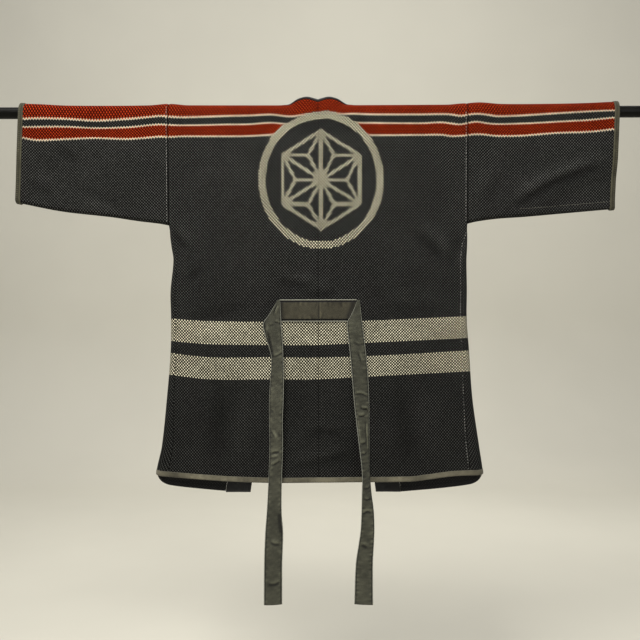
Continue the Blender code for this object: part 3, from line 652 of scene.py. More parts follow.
def front_edge(side, drop):
    """The inner edge of the front, where the collar is sewn on."""
    return mix(NECK_HALF_WIDTH, FRONT_EDGE_AT_HEM[side], drop / (WRAP_QUARTER - FRONT_EDGE_FOOT))


def quarter_length(side, face, height):
    """The cloth's length round one quarter of the side fold."""
    radius = hanging("fold_radius", height)
    depth = body_depth(side, face, side_fold(side, height) - radius, height)
    return math.pi / 2 * np.sqrt((radius * radius + depth * depth) / 2)


def round_the_side(side, height, along):
    """Face and distance out for cloth at a length along from the side fold, positive on the back."""
    face = np.where(along >= 0, BACK, FRONT)
    radius = hanging("fold_radius", height)
    quarter = quarter_length(side, face, height)
    flat_from, length = side_fold(side, height) - radius, np.abs(along)
    curved = flat_from + radius * np.cos(length / quarter * math.pi / 2)
    return face, np.where(length >= quarter, flat_from - (length - quarter), curved)


def side_seam(side, height):
    """The length from the side fold to the side seam, which lies just round on the back."""
    inset = hanging("seam_inset", height) * smooth((armpit(side) - height) / SEAM_SHIFT_LENGTH)
    radius = hanging("fold_radius", height)
    quarter = quarter_length(side, BACK, height)
    curved = quarter * np.arccos(clamp(1 - inset / radius, -1.0, 1.0)) / (math.pi / 2)
    return np.where(inset >= radius, quarter + inset - radius, curved)


def length_to(side, face, out, height):
    """The length from the side fold to a point further in on one face."""
    radius = hanging("fold_radius", height)
    return quarter_length(side, face, height) + side_fold(side, height) - radius - out


def hem_height(side, face, out):
    """The height of the coat's lower edge."""
    fold = side_fold(side, HEM_LEVEL)
    back, at_fold = (curve_through(BACK_HEM, "height", side * place) for place in (out, fold))
    front = at_fold + curve_through(FRONT_HEM_DROP, "height", fold - out)
    return np.where(np.equal(face, BACK), back, front)


def drop_at(height):
    """The way down the cloth from the top of the rod to a height on plain cloth."""
    wrapped = WRAP_RADIUS * np.arccos(clamp(height / WRAP_RADIUS, 0.0, 1.0))
    return np.where(height > 0, wrapped, WRAP_QUARTER - height)


def flat_drop(face, across, drop):
    """The place down the flat cloth, on which the lines and bands that hang unevenly are straight."""
    hung, flat = [0.0], [0.0]
    for rows, places in ((SHOULDER_LINES, LINES), (WAIST_BANDS, BANDS)):
        for name, place in places.items():
            hung.append(drop_at(curve_through(rows, name, across)))
            flat.append(place)
    hung.append(CLOTH_END)
    flat.append(CLOTH_END)
    total = np.zeros(np.broadcast_shapes(np.shape(across), np.shape(drop)))
    for i in range(len(hung) - 1):
        share = clamp((drop - hung[i]) / (hung[i + 1] - hung[i]))
        total += share * (flat[i + 1] - flat[i])
    return -face * total


# A piece of cloth before it has its thickness: a grid of points on its middle surface, their places
# on the flat cloth, their distance from the nearest sewn or cut edge, how far they stand out of or
# lie in the creases, from 1 to -1, which the materials paint as highlight and shade, and which cells are
# cloth
Panel = namedtuple("Panel", "points across down edge relief cells")


def grid_panel(points, across, down, edge, relief=0.0):
    """A panel whose cells are all cloth."""
    rows, columns = points.shape[:2]
    parts = [np.broadcast_to(part, (rows, columns)) for part in (across, down, edge, relief)]
    return Panel(points, *parts, np.ones((rows - 1, columns - 1), bool))


def panel_normals(points, quads):
    """Unit normals of the points of a sheet made of four-sided faces."""
    a, b, c, d = (points[quads[:, i]] for i in range(4))
    face_normals = np.cross(c - a, d - b)
    normals = np.zeros_like(points)
    for i in range(4):
        np.add.at(normals, quads[:, i], face_normals)
    return normals / np.maximum(np.linalg.norm(normals, axis=1, keepdims=True), 1e-12)


def boundary_edges(quads):
    """The directed edges that only one face has."""
    edges = joined(*(quads[:, [i, (i + 1) % 4]] for i in range(4)))
    _, first, counts = np.unique(np.sort(edges, axis=1), axis=0, return_index=True, return_counts=True)
    return edges[first[counts == 1]]


def link(name, data):
    """A new object in the scene."""
    made = bpy.data.objects.new(name, data)
    bpy.context.scene.collection.objects.link(made)
    return made


def thick_cloth(name, node, panel, thickness, finishes, seam_depth=0.0, round_edge=1.0):
    """A closed shell on a panel, thinner at its edges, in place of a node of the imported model.

    finishes are the materials of the outer side, away from the rod's plane, and of the inner side.
    Returns the object and the outer side's points, as a grid.
    """
    rows, columns = panel.edge.shape
    points = panel.points.reshape(-1, 3)
    ids = np.arange(rows * columns).reshape(rows, columns)
    quads = np.stack([ids[:-1, :-1], ids[:-1, 1:], ids[1:, 1:], ids[1:, :-1]], -1)[panel.cells]
    normals = panel_normals(points, quads)
    if np.sum(normals[:, 1] * points[:, 1]) < 0:
        quads, normals = quads[:, ::-1], -normals
    edge = panel.edge.reshape(-1)
    points = points - normals * (seam_depth * bell(edge, SEAM_SOFTNESS))[:, None]
    normals = panel_normals(points, quads)
    roundness = fold_roundness(edge, round_edge * thickness / 2)
    half = (thickness / 2 * np.maximum(roundness, THINNEST_EDGE))[:, None]
    outer, inner = points + normals * half, points - normals * half

    rim, count = boundary_edges(quads), len(points)
    rim_faces = np.stack([rim[:, 1], rim[:, 0], rim[:, 0] + count, rim[:, 1] + count], 1)
    faces = joined(quads, quads[:, ::-1] + count, rim_faces)
    used = np.unique(faces)
    renumber = np.full(2 * count, -1)
    renumber[used] = np.arange(len(used))
    faces = renumber[faces]
    flat = np.stack([panel.across.reshape(-1), panel.down.reshape(-1)], 1)
    both_flat = joined(flat, flat)[used]

    mesh = bpy.data.meshes.new(name)
    mesh.from_pydata(joined(outer, inner)[used].tolist(), [], faces.tolist())
    layer = mesh.uv_layers.new(name="cloth")
    layer.data.foreach_set("uv", both_flat[faces.reshape(-1)].reshape(-1))
    # The relief is kept as the relief attribute, which the materials paint as highlight on ridges and shade
    # in creases. The inner side gets none
    relief = clamp(panel.relief.reshape(-1), -1, 1)
    painted_light_and_wear = mesh.attributes.new("relief", "FLOAT", "POINT")
    painted_light_and_wear.data.foreach_set("value", joined(relief, 0 * relief)[used])
    for finish in finishes:
        mesh.materials.append(finish)
    if len(finishes) > 1:
        inside = np.zeros(len(faces), dtype=np.int32)
        inside[len(quads) : 2 * len(quads)] = 1
        mesh.polygons.foreach_set("material_index", inside)
    mesh.shade_smooth()
    piece = link(name, mesh)
    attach(piece, "root")
    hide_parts(node)
    return piece, outer.reshape(rows, columns, 3)


def column_lengths(total):
    """Distances from a sheet's outer edge, close together at the edge and even further in."""
    even = np.arange(1, INNER_COLUMNS + 1) / INNER_COLUMNS
    inner = EDGE_STEPS[-1] + (total - EDGE_STEPS[-1]) * even
    outer = np.broadcast_to(EDGE_STEPS, (*np.shape(inner)[:-1], len(EDGE_STEPS)))
    return joined(outer, inner, axis=-1)


def neck_outs(rows):
    """The back's columns below the neck, from the neck's end in to the middle seam."""
    even = np.linspace(NECK_HALF_WIDTH, NECK_STEPS[0], NECK_COLUMNS + 1)[1:-1]
    outs = joined(even, NECK_STEPS)
    return np.broadcast_to(outs, (rows, len(outs)))


def upper_part(side, face):
    """One face of a body strip from the top of the rod to just above the armpit."""
    top = WRAP_QUARTER - armpit(side)
    wrap = np.linspace(0, WRAP_QUARTER, WRAP_ROWS, endpoint=False)
    wall = np.linspace(WRAP_QUARTER, top - ARMPIT_ROOM, UPPER_ROWS)
    drop = column(*wrap, *wall, *(top - ARMPIT_STEPS))
    outer = SHOULDER_HALF_WIDTH - SEAM_GAP / 2
    inner = front_edge(side, drop) if face == FRONT else np.full(drop.shape, NECK_HALF_WIDTH)
    outs = outer - column_lengths(outer - inner)
    if face == BACK:
        outs = joined(outs, neck_outs(len(drop)), axis=-1)
    drop = np.broadcast_to(drop, outs.shape)
    points = back_point(side, outs, drop) if face == BACK else shoulder_point(side, FRONT, outs, drop)
    return points, outs, drop, outer - outs


def lower_part(side, face, share, base):
    """One face of a body strip below the armpit, from the side seam in.

    share runs from 0 at the armpit to 1 at the lower edge, which lies base above the coat's hem.
    """
    top = armpit(side)
    nominal = mix(top, hem_height(side, BACK, side_fold(side, HEM_LEVEL)) + base, share)
    first = SEAM_GAP / 2 - face * side_seam(side, nominal)
    if face == BACK:
        inner = np.full(share.shape, NECK_HALF_WIDTH)
    else:
        inner = front_edge(side, WRAP_QUARTER - mix(top, FRONT_EDGE_FOOT, share))
    total = length_to(side, face, inner, nominal) - first
    lengths = column_lengths(total)
    along = -face * (first + lengths)
    on_face, out = round_the_side(side, nominal, along)
    height = mix(top, hem_height(side, on_face, out) + base, share)
    on_face, out = round_the_side(side, mix(nominal, height, 0.5), along)
    if face == FRONT:
        at_collar = front_edge(side, WRAP_QUARTER - height[:, -1:])
        out = out + (at_collar - out[:, -1:]) * smooth(lengths / total)
    points, outs, edge = body_point(side, on_face, out, height), inner + total - lengths, lengths
    if face == BACK:
        neck = neck_outs(len(share))
        neck_height = mix(top, hem_height(side, BACK, neck) + base, share)
        points = joined(points, body_point(side, BACK, neck, neck_height), axis=1)
        outs, height = joined(outs, neck, axis=1), joined(height, neck_height, axis=1)
        edge = joined(edge, np.full(neck.shape, FAR_IN), axis=1)
    return points, outs, WRAP_QUARTER - height, edge


def body_panel(side):
    """A body strip, from the back hem up over the shoulder and down to the front hem."""
    share = column(*np.linspace(0, 1, LOWER_ROWS + 1))
    faces = []
    for face in (BACK, FRONT):
        upper, lower = upper_part(side, face), lower_part(side, face, share, HEM_BINDING - HEM_TUCK)
        points, outs, drop, edge = (joined(u, w) for u, w in zip(upper, lower))
        down = flat_drop(face, side * np.minimum(outs, SHOULDER_HALF_WIDTH), drop)
        relief = crease_relief(BODY_CREASES[face], points[..., 0], points[..., 2]) / BODY_RELIEF
        faces.append([points, side * outs, down, edge, relief, drop])
    back, front = faces
    spare = back[0].shape[1] - front[0].shape[1]
    front = [joined(part, np.repeat(part[:, -1:], spare, axis=1), axis=1) for part in front]
    points, across, down, edge, relief, drop = back
    middle = side * points[..., 0]
    neck = np.where(middle < NECK_HALF_WIDTH, drop + NECK_EDGE_LEAST, FAR_IN)
    edge = np.minimum(np.minimum(edge, middle + MIDDLE_EDGE_LEAST), neck)
    back = (points, across, down, edge, relief)
    strip = [joined(b[::-1], f[1:]) for b, f in zip(back, front)]
    cells = np.ones((len(strip[0]) - 1, strip[0].shape[1] - 1), bool)
    cells[len(points) - 1 :, -spare:] = False
    return Panel(*strip, cells)


def cuff_line(side, height):
    """How far out the cuff's edge stands, which leans a little."""
    return CUFF_OUT[side] + CUFF_LEAN[side] * clamp((WRAP_RADIUS - height) / CUFF_HEIGHT)


def sleeve_loop(side, out_of, proud=0.0):
    """Points round a sleeve, from its lower fold up the back, over the rod and down the front.

    out_of gives the distance from the middle for a height, with a column for each loop, so that the
    loops can lean. Returns the points, each one's drop from the top of the rod, and its face.
    """
    radius, wrap = DEPTHS["fold_radius"][0], WRAP_RADIUS + proud
    low = underarm(side, out_of(np.array([armpit(side)]))) - proud
    steps = column(*(radius * (1 - np.cos(np.linspace(0, math.pi / 2, SLEEVE_FOLD_ROWS + 1)[:-1]))))
    shares = column(*np.linspace(0, 1, SLEEVE_WALL_ROWS, endpoint=False))
    angle = math.pi / 2 * (1 - column(*range(WRAP_ROWS)) / WRAP_ROWS)
    rise = joined(steps + 0 * low, radius + (-low - radius) * shares)
    height, rod_height = low + rise, wrap * np.cos(angle) + 0 * low
    out, rod_out = out_of(height), side * out_of(rod_height)
    drops = joined(WRAP_QUARTER - height, WRAP_RADIUS * angle + 0 * low)
    calm = smooth((out - SHOULDER_HALF_WIDTH) / SLEEVE_CALM)
    calm = calm * smooth((CUFF_OUT[side] - out) / CUFF_CALM + CALM_AT_CUFF)
    calm = calm * hangs_free(height) * smooth(rise / WAVES_FROM)
    halves = []
    for face in (BACK, FRONT):
        depth = sleeve_depth(side, out, height) + proud
        if face == BACK:
            depth = depth - cuff_turn(side, out, height)
        relief = cloth_relief(SLEEVE_CREASES, SLEEVE_WAVES, face, side * out, height) * calm
        walls = np.stack([side * out, face * (depth * fold_roundness(rise, radius) + relief), height], -1)
        rod_side = face * wrap * np.sin(angle) + 0 * low
        over = np.stack([rod_out, rod_side, rod_height + over_rod(rod_out, np.cos(angle))], -1)
        halves.append((joined(walls, over), drops, np.full(drops.shape, face)))
    top_height = np.full((1, low.shape[-1]), wrap)
    top_out = side * out_of(top_height)
    top = np.stack([top_out, 0 * top_height, top_height + over_rod(top_out, 1.0)], -1)
    crown = (top, 0 * top_height, np.full(top_height.shape, BACK))
    return [joined(b, c, f[::-1]) for b, c, f in zip(halves[0], crown, halves[1])]


def sleeve_panel(side):
    """A sleeve, cut open along its lower fold, where its seam is."""
    width = CUFF_OUT[side] - CUFF_BINDING + CUFF_TUCK - SHOULDER_HALF_WIDTH
    reach = joined(ARMHOLE_STEPS, np.linspace(ARMHOLE_ROOM, width, SLEEVE_COLUMNS)) / width

    def out_of(height):
        end = cuff_line(side, height) - CUFF_BINDING + CUFF_TUCK
        return mix(SHOULDER_HALF_WIDTH + SEAM_GAP / 2, end, reach)

    points, drop, face = sleeve_loop(side, out_of)
    across = points[..., 0]
    from_fold = drop.max(axis=0) - drop
    edge = np.minimum(np.abs(across) - SHOULDER_HALF_WIDTH, from_fold + FOLD_EDGE_LEAST)
    relief = relief_on(SLEEVE_CREASES, face, across, points[..., 2]) / SLEEVE_RELIEF
    return grid_panel(points, across, flat_drop(face, across, drop), np.maximum(edge, 0.0), relief)


def strip_steps(width, *steps):
    """Distances across a strip, with the same close steps, in millimetres, at both long edges."""
    steps = np.array([0.0, *steps]) / 1000
    return joined(steps, width - steps[::-1])


def ribs(along, pitch, rise, seed):
    """Small ribs across a binding, a little uneven."""
    wander = soft_waves(along, 0 * along, seed, pitch * RIB_WANDER_LENGTH, pitch * RIB_WANDER)
    return rise * (0.5 + 0.5 * np.cos(2 * math.pi * (along + wander) / pitch))


def path_lengths(points):
    """The way along a line of points."""
    return joined([0.0], np.cumsum(np.linalg.norm(np.diff(points, axis=0), axis=-1)))


def evened(points, line, spacing, shortest):
    """The way along one of a strip's long lines in even steps, and the strip's points there."""
    at = path_lengths(points[:, line])
    keep = joined([True], np.diff(at) > shortest)
    even = np.linspace(0, at[-1], int(at[-1] / spacing))
    flat = points[keep].reshape(np.sum(keep), -1)
    fine = np.stack([np.interp(even, at[keep], values) for values in flat.T], -1)
    return even, fine.reshape(len(even), *points.shape[1:])


def cuff_panel(side):
    """A cuff's binding: a ring of ribbed tape round the end of the sleeve."""
    steps = strip_steps(CUFF_BINDING, 0.3, 0.8, 1.6, 2.6, 3.6, 4.4, 5.2)

    def out_of(height):
        return cuff_line(side, height) - CUFF_BINDING + steps

    points, _, _ = sleeve_loop(side, out_of, CUFF_PROUD)
    even, fine = evened(points, len(steps) // 2, CUFF_SPACING, 0.0)
    from_edge = to_nearest(steps, CUFF_BINDING)
    middle = clamp(from_edge / CUFF_EDGE_SOFTNESS)
    outward = (fine - np.array([0, 0, fine[..., 2].mean()])) * np.array([0, 1, 1])
    outward /= np.linalg.norm(outward, axis=-1, keepdims=True)
    outer_strip = smooth((steps - CUFF_STRIP_FROM) / CUFF_STRIP_SOFTNESS)
    inner_strip = 1 - outer_strip
    level = fine[:, :1, 2]
    shows = mix(CUFF_UPPER_SHARE, 1.0, smooth((CUFF_FULL_FROM - level) / CUFF_FULL_SOFTNESS))
    rib = ribs(even, *CUFF_RIBS)[:, None] * middle * outer_strip
    rise = CUFF_RIB_RISE * rib + CUFF_INNER_RISE * middle * inner_strip
    fine = fine + outward * CUFF_LIFT * rise[..., None]
    # Painted light and shade: highlight on the ribs, a darker outer strip, and shade in the groove and along
    # the edge against the sleeve
    shown = CUFF_RIB_SHADE * rib - CUFF_STRIP_SHADE * outer_strip + CUFF_INNER_SHADE * inner_strip
    shown = shown * shows - CUFF_GROOVE_SHADE * bell(steps - CUFF_GROOVE, CUFF_GROOVE_WIDTH)
    shown = shown - CUFF_END_SHADE * bell(steps - CUFF_END, CUFF_END_WIDTH)
    return grid_panel(fine, steps[None, :], even[:, None], from_edge[None, :], shown)


def hem_panel():
    """The binding along the lower edge, from the left front round the back to the right front."""
    steps = strip_steps(HEM_BINDING, 0.3, 0.8, 1.6, 2.8, 4.4)
    lines = []
    for base in HEM_BINDING - steps:
        halves = []
        for side in (LEFT, RIGHT):
            front, back = (lower_part(side, face, column(1.0), base)[0][0] for face in (FRONT, BACK))
            halves.append(joined(front[::-1], back[1:]))
        lines.append(joined(halves[0], halves[1][::-1][1:]))
    even, fine = evened(np.stack(lines, 1), 0, HEM_SPACING, HEM_SHORTEST)
    from_edge = to_nearest(steps, HEM_BINDING)[None, :]
    middle = clamp(from_edge / HEM_EDGE_SOFTNESS)
    along = even[:, None]
    lift = (ribs(along, *HEM_RIBS) + soft_waves(along, steps[None, :], *HEM_WAVES)) * middle
    depth = fine[..., 1]
    fine[..., 1] = depth + np.sign(depth) * lift * clamp(np.abs(depth) / HEM_SIDE_SOFTNESS)
    # Uneven wear, and painted shade along the tape's rounded edges
    shown = HEM_WEAR_SHADE * soft_waves(along, HEM_WEAR_SLANT * steps[None, :], *HEM_WEAR)
    shown = shown - HEM_EDGE_SHADE * bell(from_edge, HEM_EDGE_SHADE_WIDTH)
    return grid_panel(fine, steps[None, :], along, from_edge, shown)


def bezier(start, leave, arrive, end, share):
    a, b = (1 - share) ** 3, 3 * share * (1 - share) ** 2
    c, d = 3 * share**2 * (1 - share), share**3
    return a * start + b * leave + c * arrive + d * end


def collar_wrap(share):
    """The smallest radius round the rod for the collar's middle surface, larger off its seam."""
    return WRAP_RADIUS + COLLAR_PROUD + COLLAR_ROOM * smooth(share / COLLAR_ROOM_FROM)


def collar_neck_rows(side, outs, shares):
    """The collar's rows round the back neck, where it stands up and rolls forward over the rod."""
    outs = outs[:, None]
    edge, below = (back_point(side, outs, 0 * outs + drop) for drop in (0.0, COLLAR_LIFT))
    up = (edge - below) / np.linalg.norm(edge - below, axis=-1, keepdims=True)
    turned = smooth((outs - COLLAR_CORNER_FROM) / (NECK_HALF_WIDTH - COLLAR_CORNER_FROM))[..., None]
    inward, into_corner = np.array([-side, 0, 0]), np.array([-side, 1, 1])
    start = edge + up * COLLAR_LIFT + into_corner * turned * COLLAR_CORNER
    leave = start + mix(up, inward, turned / 2) * COLLAR_RISE
    out, depth, height = (curve_through(COLLAR_FREE_EDGE, name, outs) for name in ("out", "depth", "height"))
    end = np.stack([side * out, depth, height], -1)
    arrive = mix(end, start, COLLAR_PULL)
    arrive[..., 2] = end[..., 2] + COLLAR_ROLL * (1 - turned[..., 0])
    rows = bezier(start, leave, arrive, end, shares[None, :, None])
    return clear_of_rod(rows, collar_wrap(shares)[None, :])


def collar_front_rows(side, drops, shares):
    """The collar's rows from the shoulder down to the front hem."""
    drop, share = drops[:, None], shares[None, :]
    seam = front_edge(side, drop) - SEAM_GAP
    start = shoulder_point(side, FRONT, seam, drop)
    angle = np.minimum(drop, WRAP_QUARTER) / WRAP_RADIUS
    y = start[..., 1] + COLLAR_PROUD * np.sin(angle)
    z = start[..., 2] + COLLAR_PROUD * np.cos(angle)
    last_depth, last_height = (COLLAR_FREE_EDGE[name][-1] for name in ("depth", "height"))
    free_y = mix(last_depth, y, smooth(drop / COLLAR_SETTLES))
    wrapped_z = mix(last_height, -COLLAR_FREE_DROP, drop / WRAP_QUARTER)
    hung_z = z - COLLAR_FREE_DROP * (1 - smooth((drop - WRAP_QUARTER) / COLLAR_STRAIGHTENS))
    free_z = np.where(drop < WRAP_QUARTER, wrapped_z, hung_z)
    x = side * (seam - COLLAR_WIDTH * share)
    rows = np.stack([x, mix(y, free_y, smooth(share)), mix(z, free_z, share)], -1)
    return clear_of_rod(rows, collar_wrap(shares)[None, :])


def collar_panel():
    """The collar's band from the left front hem, up round the back neck, to the right front hem."""
    width = strip_steps(COLLAR_WIDTH, 0.4, 1.0, 2.0, 3.4, 5.0, 9.0, 13.5, 18.0, 22.5)
    shares = width / COLLAR_WIDTH
    outs = np.linspace(COLLAR_MIDDLE_GAP, NECK_HALF_WIDTH, COLLAR_NECK_ROWS)
    wrap = np.linspace(0, WRAP_QUARTER, COLLAR_WRAP_ROWS + 1)[1:]
    drops = joined(wrap, WRAP_QUARTER - FRONT_EDGE_FOOT * np.linspace(0, 1, COLLAR_FRONT_ROWS + 1)[1:])
    left, right = (
        joined(collar_neck_rows(side, outs, shares), collar_front_rows(side, drops, shares))
        for side in (LEFT, RIGHT)
    )
    points = joined(left[::-1], right)
    along = path_lengths(points[:, 0])[:, None]
    waves = soft_waves(along, width[None, :], *COLLAR_WAVES)
    quilting = -COLLAR_QUILT_DEPTH * sum(bell(width - line, COLLAR_QUILT_WIDTH) for line in COLLAR_QUILTING)
    calm = smooth((np.abs(points[..., 0]) - NECK_HALF_WIDTH) / COLLAR_CALM)
    points[..., 1] += calm * (waves + quilting[None, :]) * (points[..., 1] > 0)
    edge = np.minimum(to_nearest(width, COLLAR_WIDTH)[None, :], to_nearest(along, along[-1]))
    return grid_panel(points, width[None, :], along, edge)


def back_surface(across, height):
    """The depth of the back's outer face, which the belt and ties lie on."""
    height = np.maximum(height, HEM_LEVEL)
    left, right = (body_depth(side, BACK, np.abs(across), height) for side in (LEFT, RIGHT))
    relief = cloth_relief(BODY_CREASES, BODY_WAVES, BACK, across, height)
    return np.where(across < 0, left, right) + np.maximum(relief, 0) + CLOTH / 2


def laid_on_back(x, height, off):
    """Points that lie on the back, as far off it as a band's own folds lift them."""
    depth = back_surface(x + 0 * height, height + 0 * x) + LAID_ON_GAP + BELT_CLOTH / 2 + off
    return np.stack(np.broadcast_arrays(x, -depth, height), -1)


def belt_panel():
    """The band across the back: a flat tube of cloth with stitched edges."""
    steps = strip_steps(
        BELT_WIDTH, 0.3, 0.8, 1.3, 1.8, 2.4, 3.0, 3.6, 4.2, 4.8, 5.6, 7.5, 10.0, 14.0, 18.0, 22.0)
    across = np.linspace(BELT_LEFT + BELT_END_GAP, BELT_RIGHT - BELT_END_GAP, BELT_COLUMNS)[:, None]
    height = BELT_TOP - steps[None, :]
    distance = to_nearest(steps, BELT_WIDTH)[None, :]
    folds = crease_relief(BELT_CREASES, across, height)
    puckers = soft_waves(across, BELT_PUCKER_SLANT * height, *BELT_PUCKERS)
    puckers = puckers * bell(distance, BELT_PUCKER_REACH)
    groove = BELT_GROOVE_DEPTH * np.exp(-(((distance - BELT_GROOVE) / BELT_GROOVE_WIDTH) ** 4))
    points = laid_on_back(across, height, folds + puckers - groove)
    ends = to_nearest(across - across[0], across[-1] - across[0]) + BELT_END_GAP
    right_corner = BELT_RIGHT_CORNER - BELT_RIGHT_CORNER_SLANT * steps[None, :]
    corners = bell(across - BELT_LEFT_CORNER, BELT_LEFT_CORNER_WIDTH)
    corners = corners + bell(across - right_corner, BELT_RIGHT_CORNER_WIDTH)
    gathered = bell(across - BELT_GATHER, BELT_GATHER_WIDTH)
    # Painted shade in the folds and puckers, at the corners next to the ties and in the gathered middle
    shown = (folds + PUCKER_SHADE * puckers) / BAND_RELIEF - CORNER_SHADE * corners - GATHER_SHADE * gathered
    return grid_panel(points, steps[None, :], across - across[0], np.minimum(distance, ends), shown)


def tie_panel(side):
    """A tie: the same flat tube, turned down from the band's end and hanging in front of the back."""
    rows = TIES[side]
    heights = column(*np.linspace(rows["height"][0], rows["height"][-1], TIE_ROWS))
    left, right, left_out, right_out = (curve_through(rows, name, heights) for name in list(rows)[1:])
    width = np.maximum(right - left, TIE_NARROWEST)
    near = np.array([0.0, 0.3, 0.8, 1.3, 1.8, 2.4, 3.0, 3.8]) / 1000 / TIE_DRAWN_WIDTH
    inner = np.linspace(TIE_INNER_FROM, TIE_INNER_TO, TIE_INNER_COLUMNS)
    shares = joined(near, inner, 1 - near[::-1])[None, :]
    middle = len(near) + TIE_INNER_COLUMNS // 2 - 1
    x = left + width * shares
    distance = to_nearest(shares, 1) * width
    hang = (heights - heights[0]) / (heights[-1] - heights[0])
    folds = TIE_CREASE_DEPTH * crease_relief(TIE_CREASES, x, heights)
    (wave_seed, *wave_sizes), (pucker_seed, *pucker_sizes) = TIE_WAVES, TIE_PUCKERS
    waves = soft_waves(x, heights, wave_seed + side, *wave_sizes)
    puckers = soft_waves(TIE_PUCKER_SLANT * x, heights, pucker_seed + side, *pucker_sizes)
    puckers = puckers * (TIE_PUCKER_LEAST + bell(distance, TIE_PUCKER_REACH))
    puckers = puckers * smooth((hang - TIE_PUCKERS_FROM) / TIE_PUCKERS_OVER)
    groove = TIE_GROOVE_DEPTH * bell(distance * TIE_DRAWN_WIDTH / width - TIE_GROOVE, TIE_GROOVE_WIDTH)
    bow = TIE_BOW * np.sin(math.pi * shares) * smooth((hang - TIE_BOWS_FROM) / TIE_BOWS_OVER)
    off = mix(left_out, right_out, shares) + bow + folds + waves + puckers - groove
    points = laid_on_back(x, heights, off)
    ends = to_nearest(heights[0] - heights, heights[0] - heights[-1]) + TIE_END_GAP
    along = path_lengths(points[:, middle])[:, None]
    # Painted shade and highlight on the tie's folds, puckers and waves
    shown = (folds + PUCKER_SHADE * puckers + WAVE_SHADE * waves) / BAND_RELIEF
    return grid_panel(points, shares * TIE_WIDTH, along, np.minimum(distance, ends), shown)


class NodeMaker:
    """Adds nodes to a tree. A value for an input is a number, a colour or another node's output."""

    def __init__(self, tree):
        self.tree = tree

    def add(self, kind, inputs=None, **settings):
        node = self.tree.nodes.new(kind)
        for name, value in settings.items():
            setattr(node, name, value)
        self.give_all(node.inputs, inputs or {})
        return node

    def give(self, socket, value):
        if isinstance(value, bpy.types.NodeSocket):
            self.tree.links.new(value, socket)
        else:
            socket.default_value = value

    def give_all(self, sockets, values):
        for key, value in values.items():
            self.give(sockets[key], value)

    def math(self, operation, *values, limit=False):
        node = self.add("ShaderNodeMath", operation=operation, use_clamp=limit)
        for socket, value in zip(node.inputs, values):
            self.give(socket, value)
        return node.outputs[0]

    def plus(self, a, b, limit=False):
        return self.math("ADD", a, b, limit=limit)

    def minus(self, a, b):
        return self.math("SUBTRACT", a, b)

    def times(self, a, b):
        return self.math("MULTIPLY", a, b)

    def over(self, a, b):
        return self.math("DIVIDE", a, b)

    def size_of(self, a):
        return self.math("ABSOLUTE", a)

    def smaller(self, a, b):
        return self.math("MINIMUM", a, b)

    def larger(self, a, b):
        return self.math("MAXIMUM", a, b)

    def is_over(self, a, b):
        return self.math("GREATER_THAN", a, b)

    def is_under(self, a, b):
        return self.math("LESS_THAN", a, b)

    def ramp(self, value, low, high, at_low=0.0, at_high=1.0):
        """A smooth step of a value from one number to another."""
        node = self.add("ShaderNodeMapRange", interpolation_type="SMOOTHSTEP", clamp=True)
        for socket, given in zip(node.inputs, (value, low, high, at_low, at_high)):
            self.give(socket, given)
        return node.outputs[0]

    def blend(self, share, a, b):
        """A colour between two others."""
        node = self.add("ShaderNodeMix", {"Factor": share}, data_type="RGBA", clamp_factor=True)
        self.give_all(node.inputs, {"A": a, "B": b})
        return node.outputs["Result"]

    def scaled(self, colour, value):
        """A colour made lighter or darker by a value."""
        node = self.add("ShaderNodeVectorMath", operation="SCALE")
        self.give(node.inputs[0], colour[:3] if isinstance(colour, tuple) else colour)
        self.give(node.inputs["Scale"], value)
        return node.outputs[0]

    def noise(self, vector, size, detail=2.0, roughness=0.5):
        """Smooth noise with features of about one size, which is a number or another node's output."""
        scale = self.over(1.0, size) if isinstance(size, bpy.types.NodeSocket) else 1 / size
        inputs = {"Vector": vector, "Scale": scale, "Detail": detail, "Roughness": roughness}
        return self.add("ShaderNodeTexNoise", inputs).outputs["Fac"]

    def bump(self, height, distance):
        inputs = {"Height": height, "Distance": distance, "Strength": 1.0}
        return self.add("ShaderNodeBump", inputs).outputs["Normal"]

    def group(self, tree, inputs):
        return self.add("ShaderNodeGroup", inputs, node_tree=tree).outputs

    def object_place(self):
        """The place on the piece, in its Object coordinates."""
        return self.add("ShaderNodeTexCoord").outputs["Object"]

    def cloth_place(self):
        """The place on the flat cloth, across and down."""
        place = self.add("ShaderNodeUVMap", uv_map="cloth").outputs[0]
        parts = self.add("ShaderNodeSeparateXYZ", {"Vector": place})
        return parts.outputs["X"], parts.outputs["Y"]


NUMBER, VECTOR = "NodeSocketFloat", "NodeSocketVector"


def node_group(name, inputs, outputs):
    """A new shader group: its maker, its input sockets and its output node's.

    inputs holds the number that each input starts with, or None where the input is a vector.
    """
    tree = bpy.data.node_groups.new(name, "ShaderNodeTree")
    for label, value in inputs.items():
        kind = VECTOR if value is None else NUMBER
        socket = tree.interface.new_socket(label, in_out="INPUT", socket_type=kind)
        if value is not None:
            socket.default_value = value
    for label in outputs:
        tree.interface.new_socket(label, in_out="OUTPUT", socket_type=NUMBER)
    make = NodeMaker(tree)
    given = make.add("NodeGroupInput").outputs
    result = make.add("NodeGroupOutput").inputs
    return make, given, result


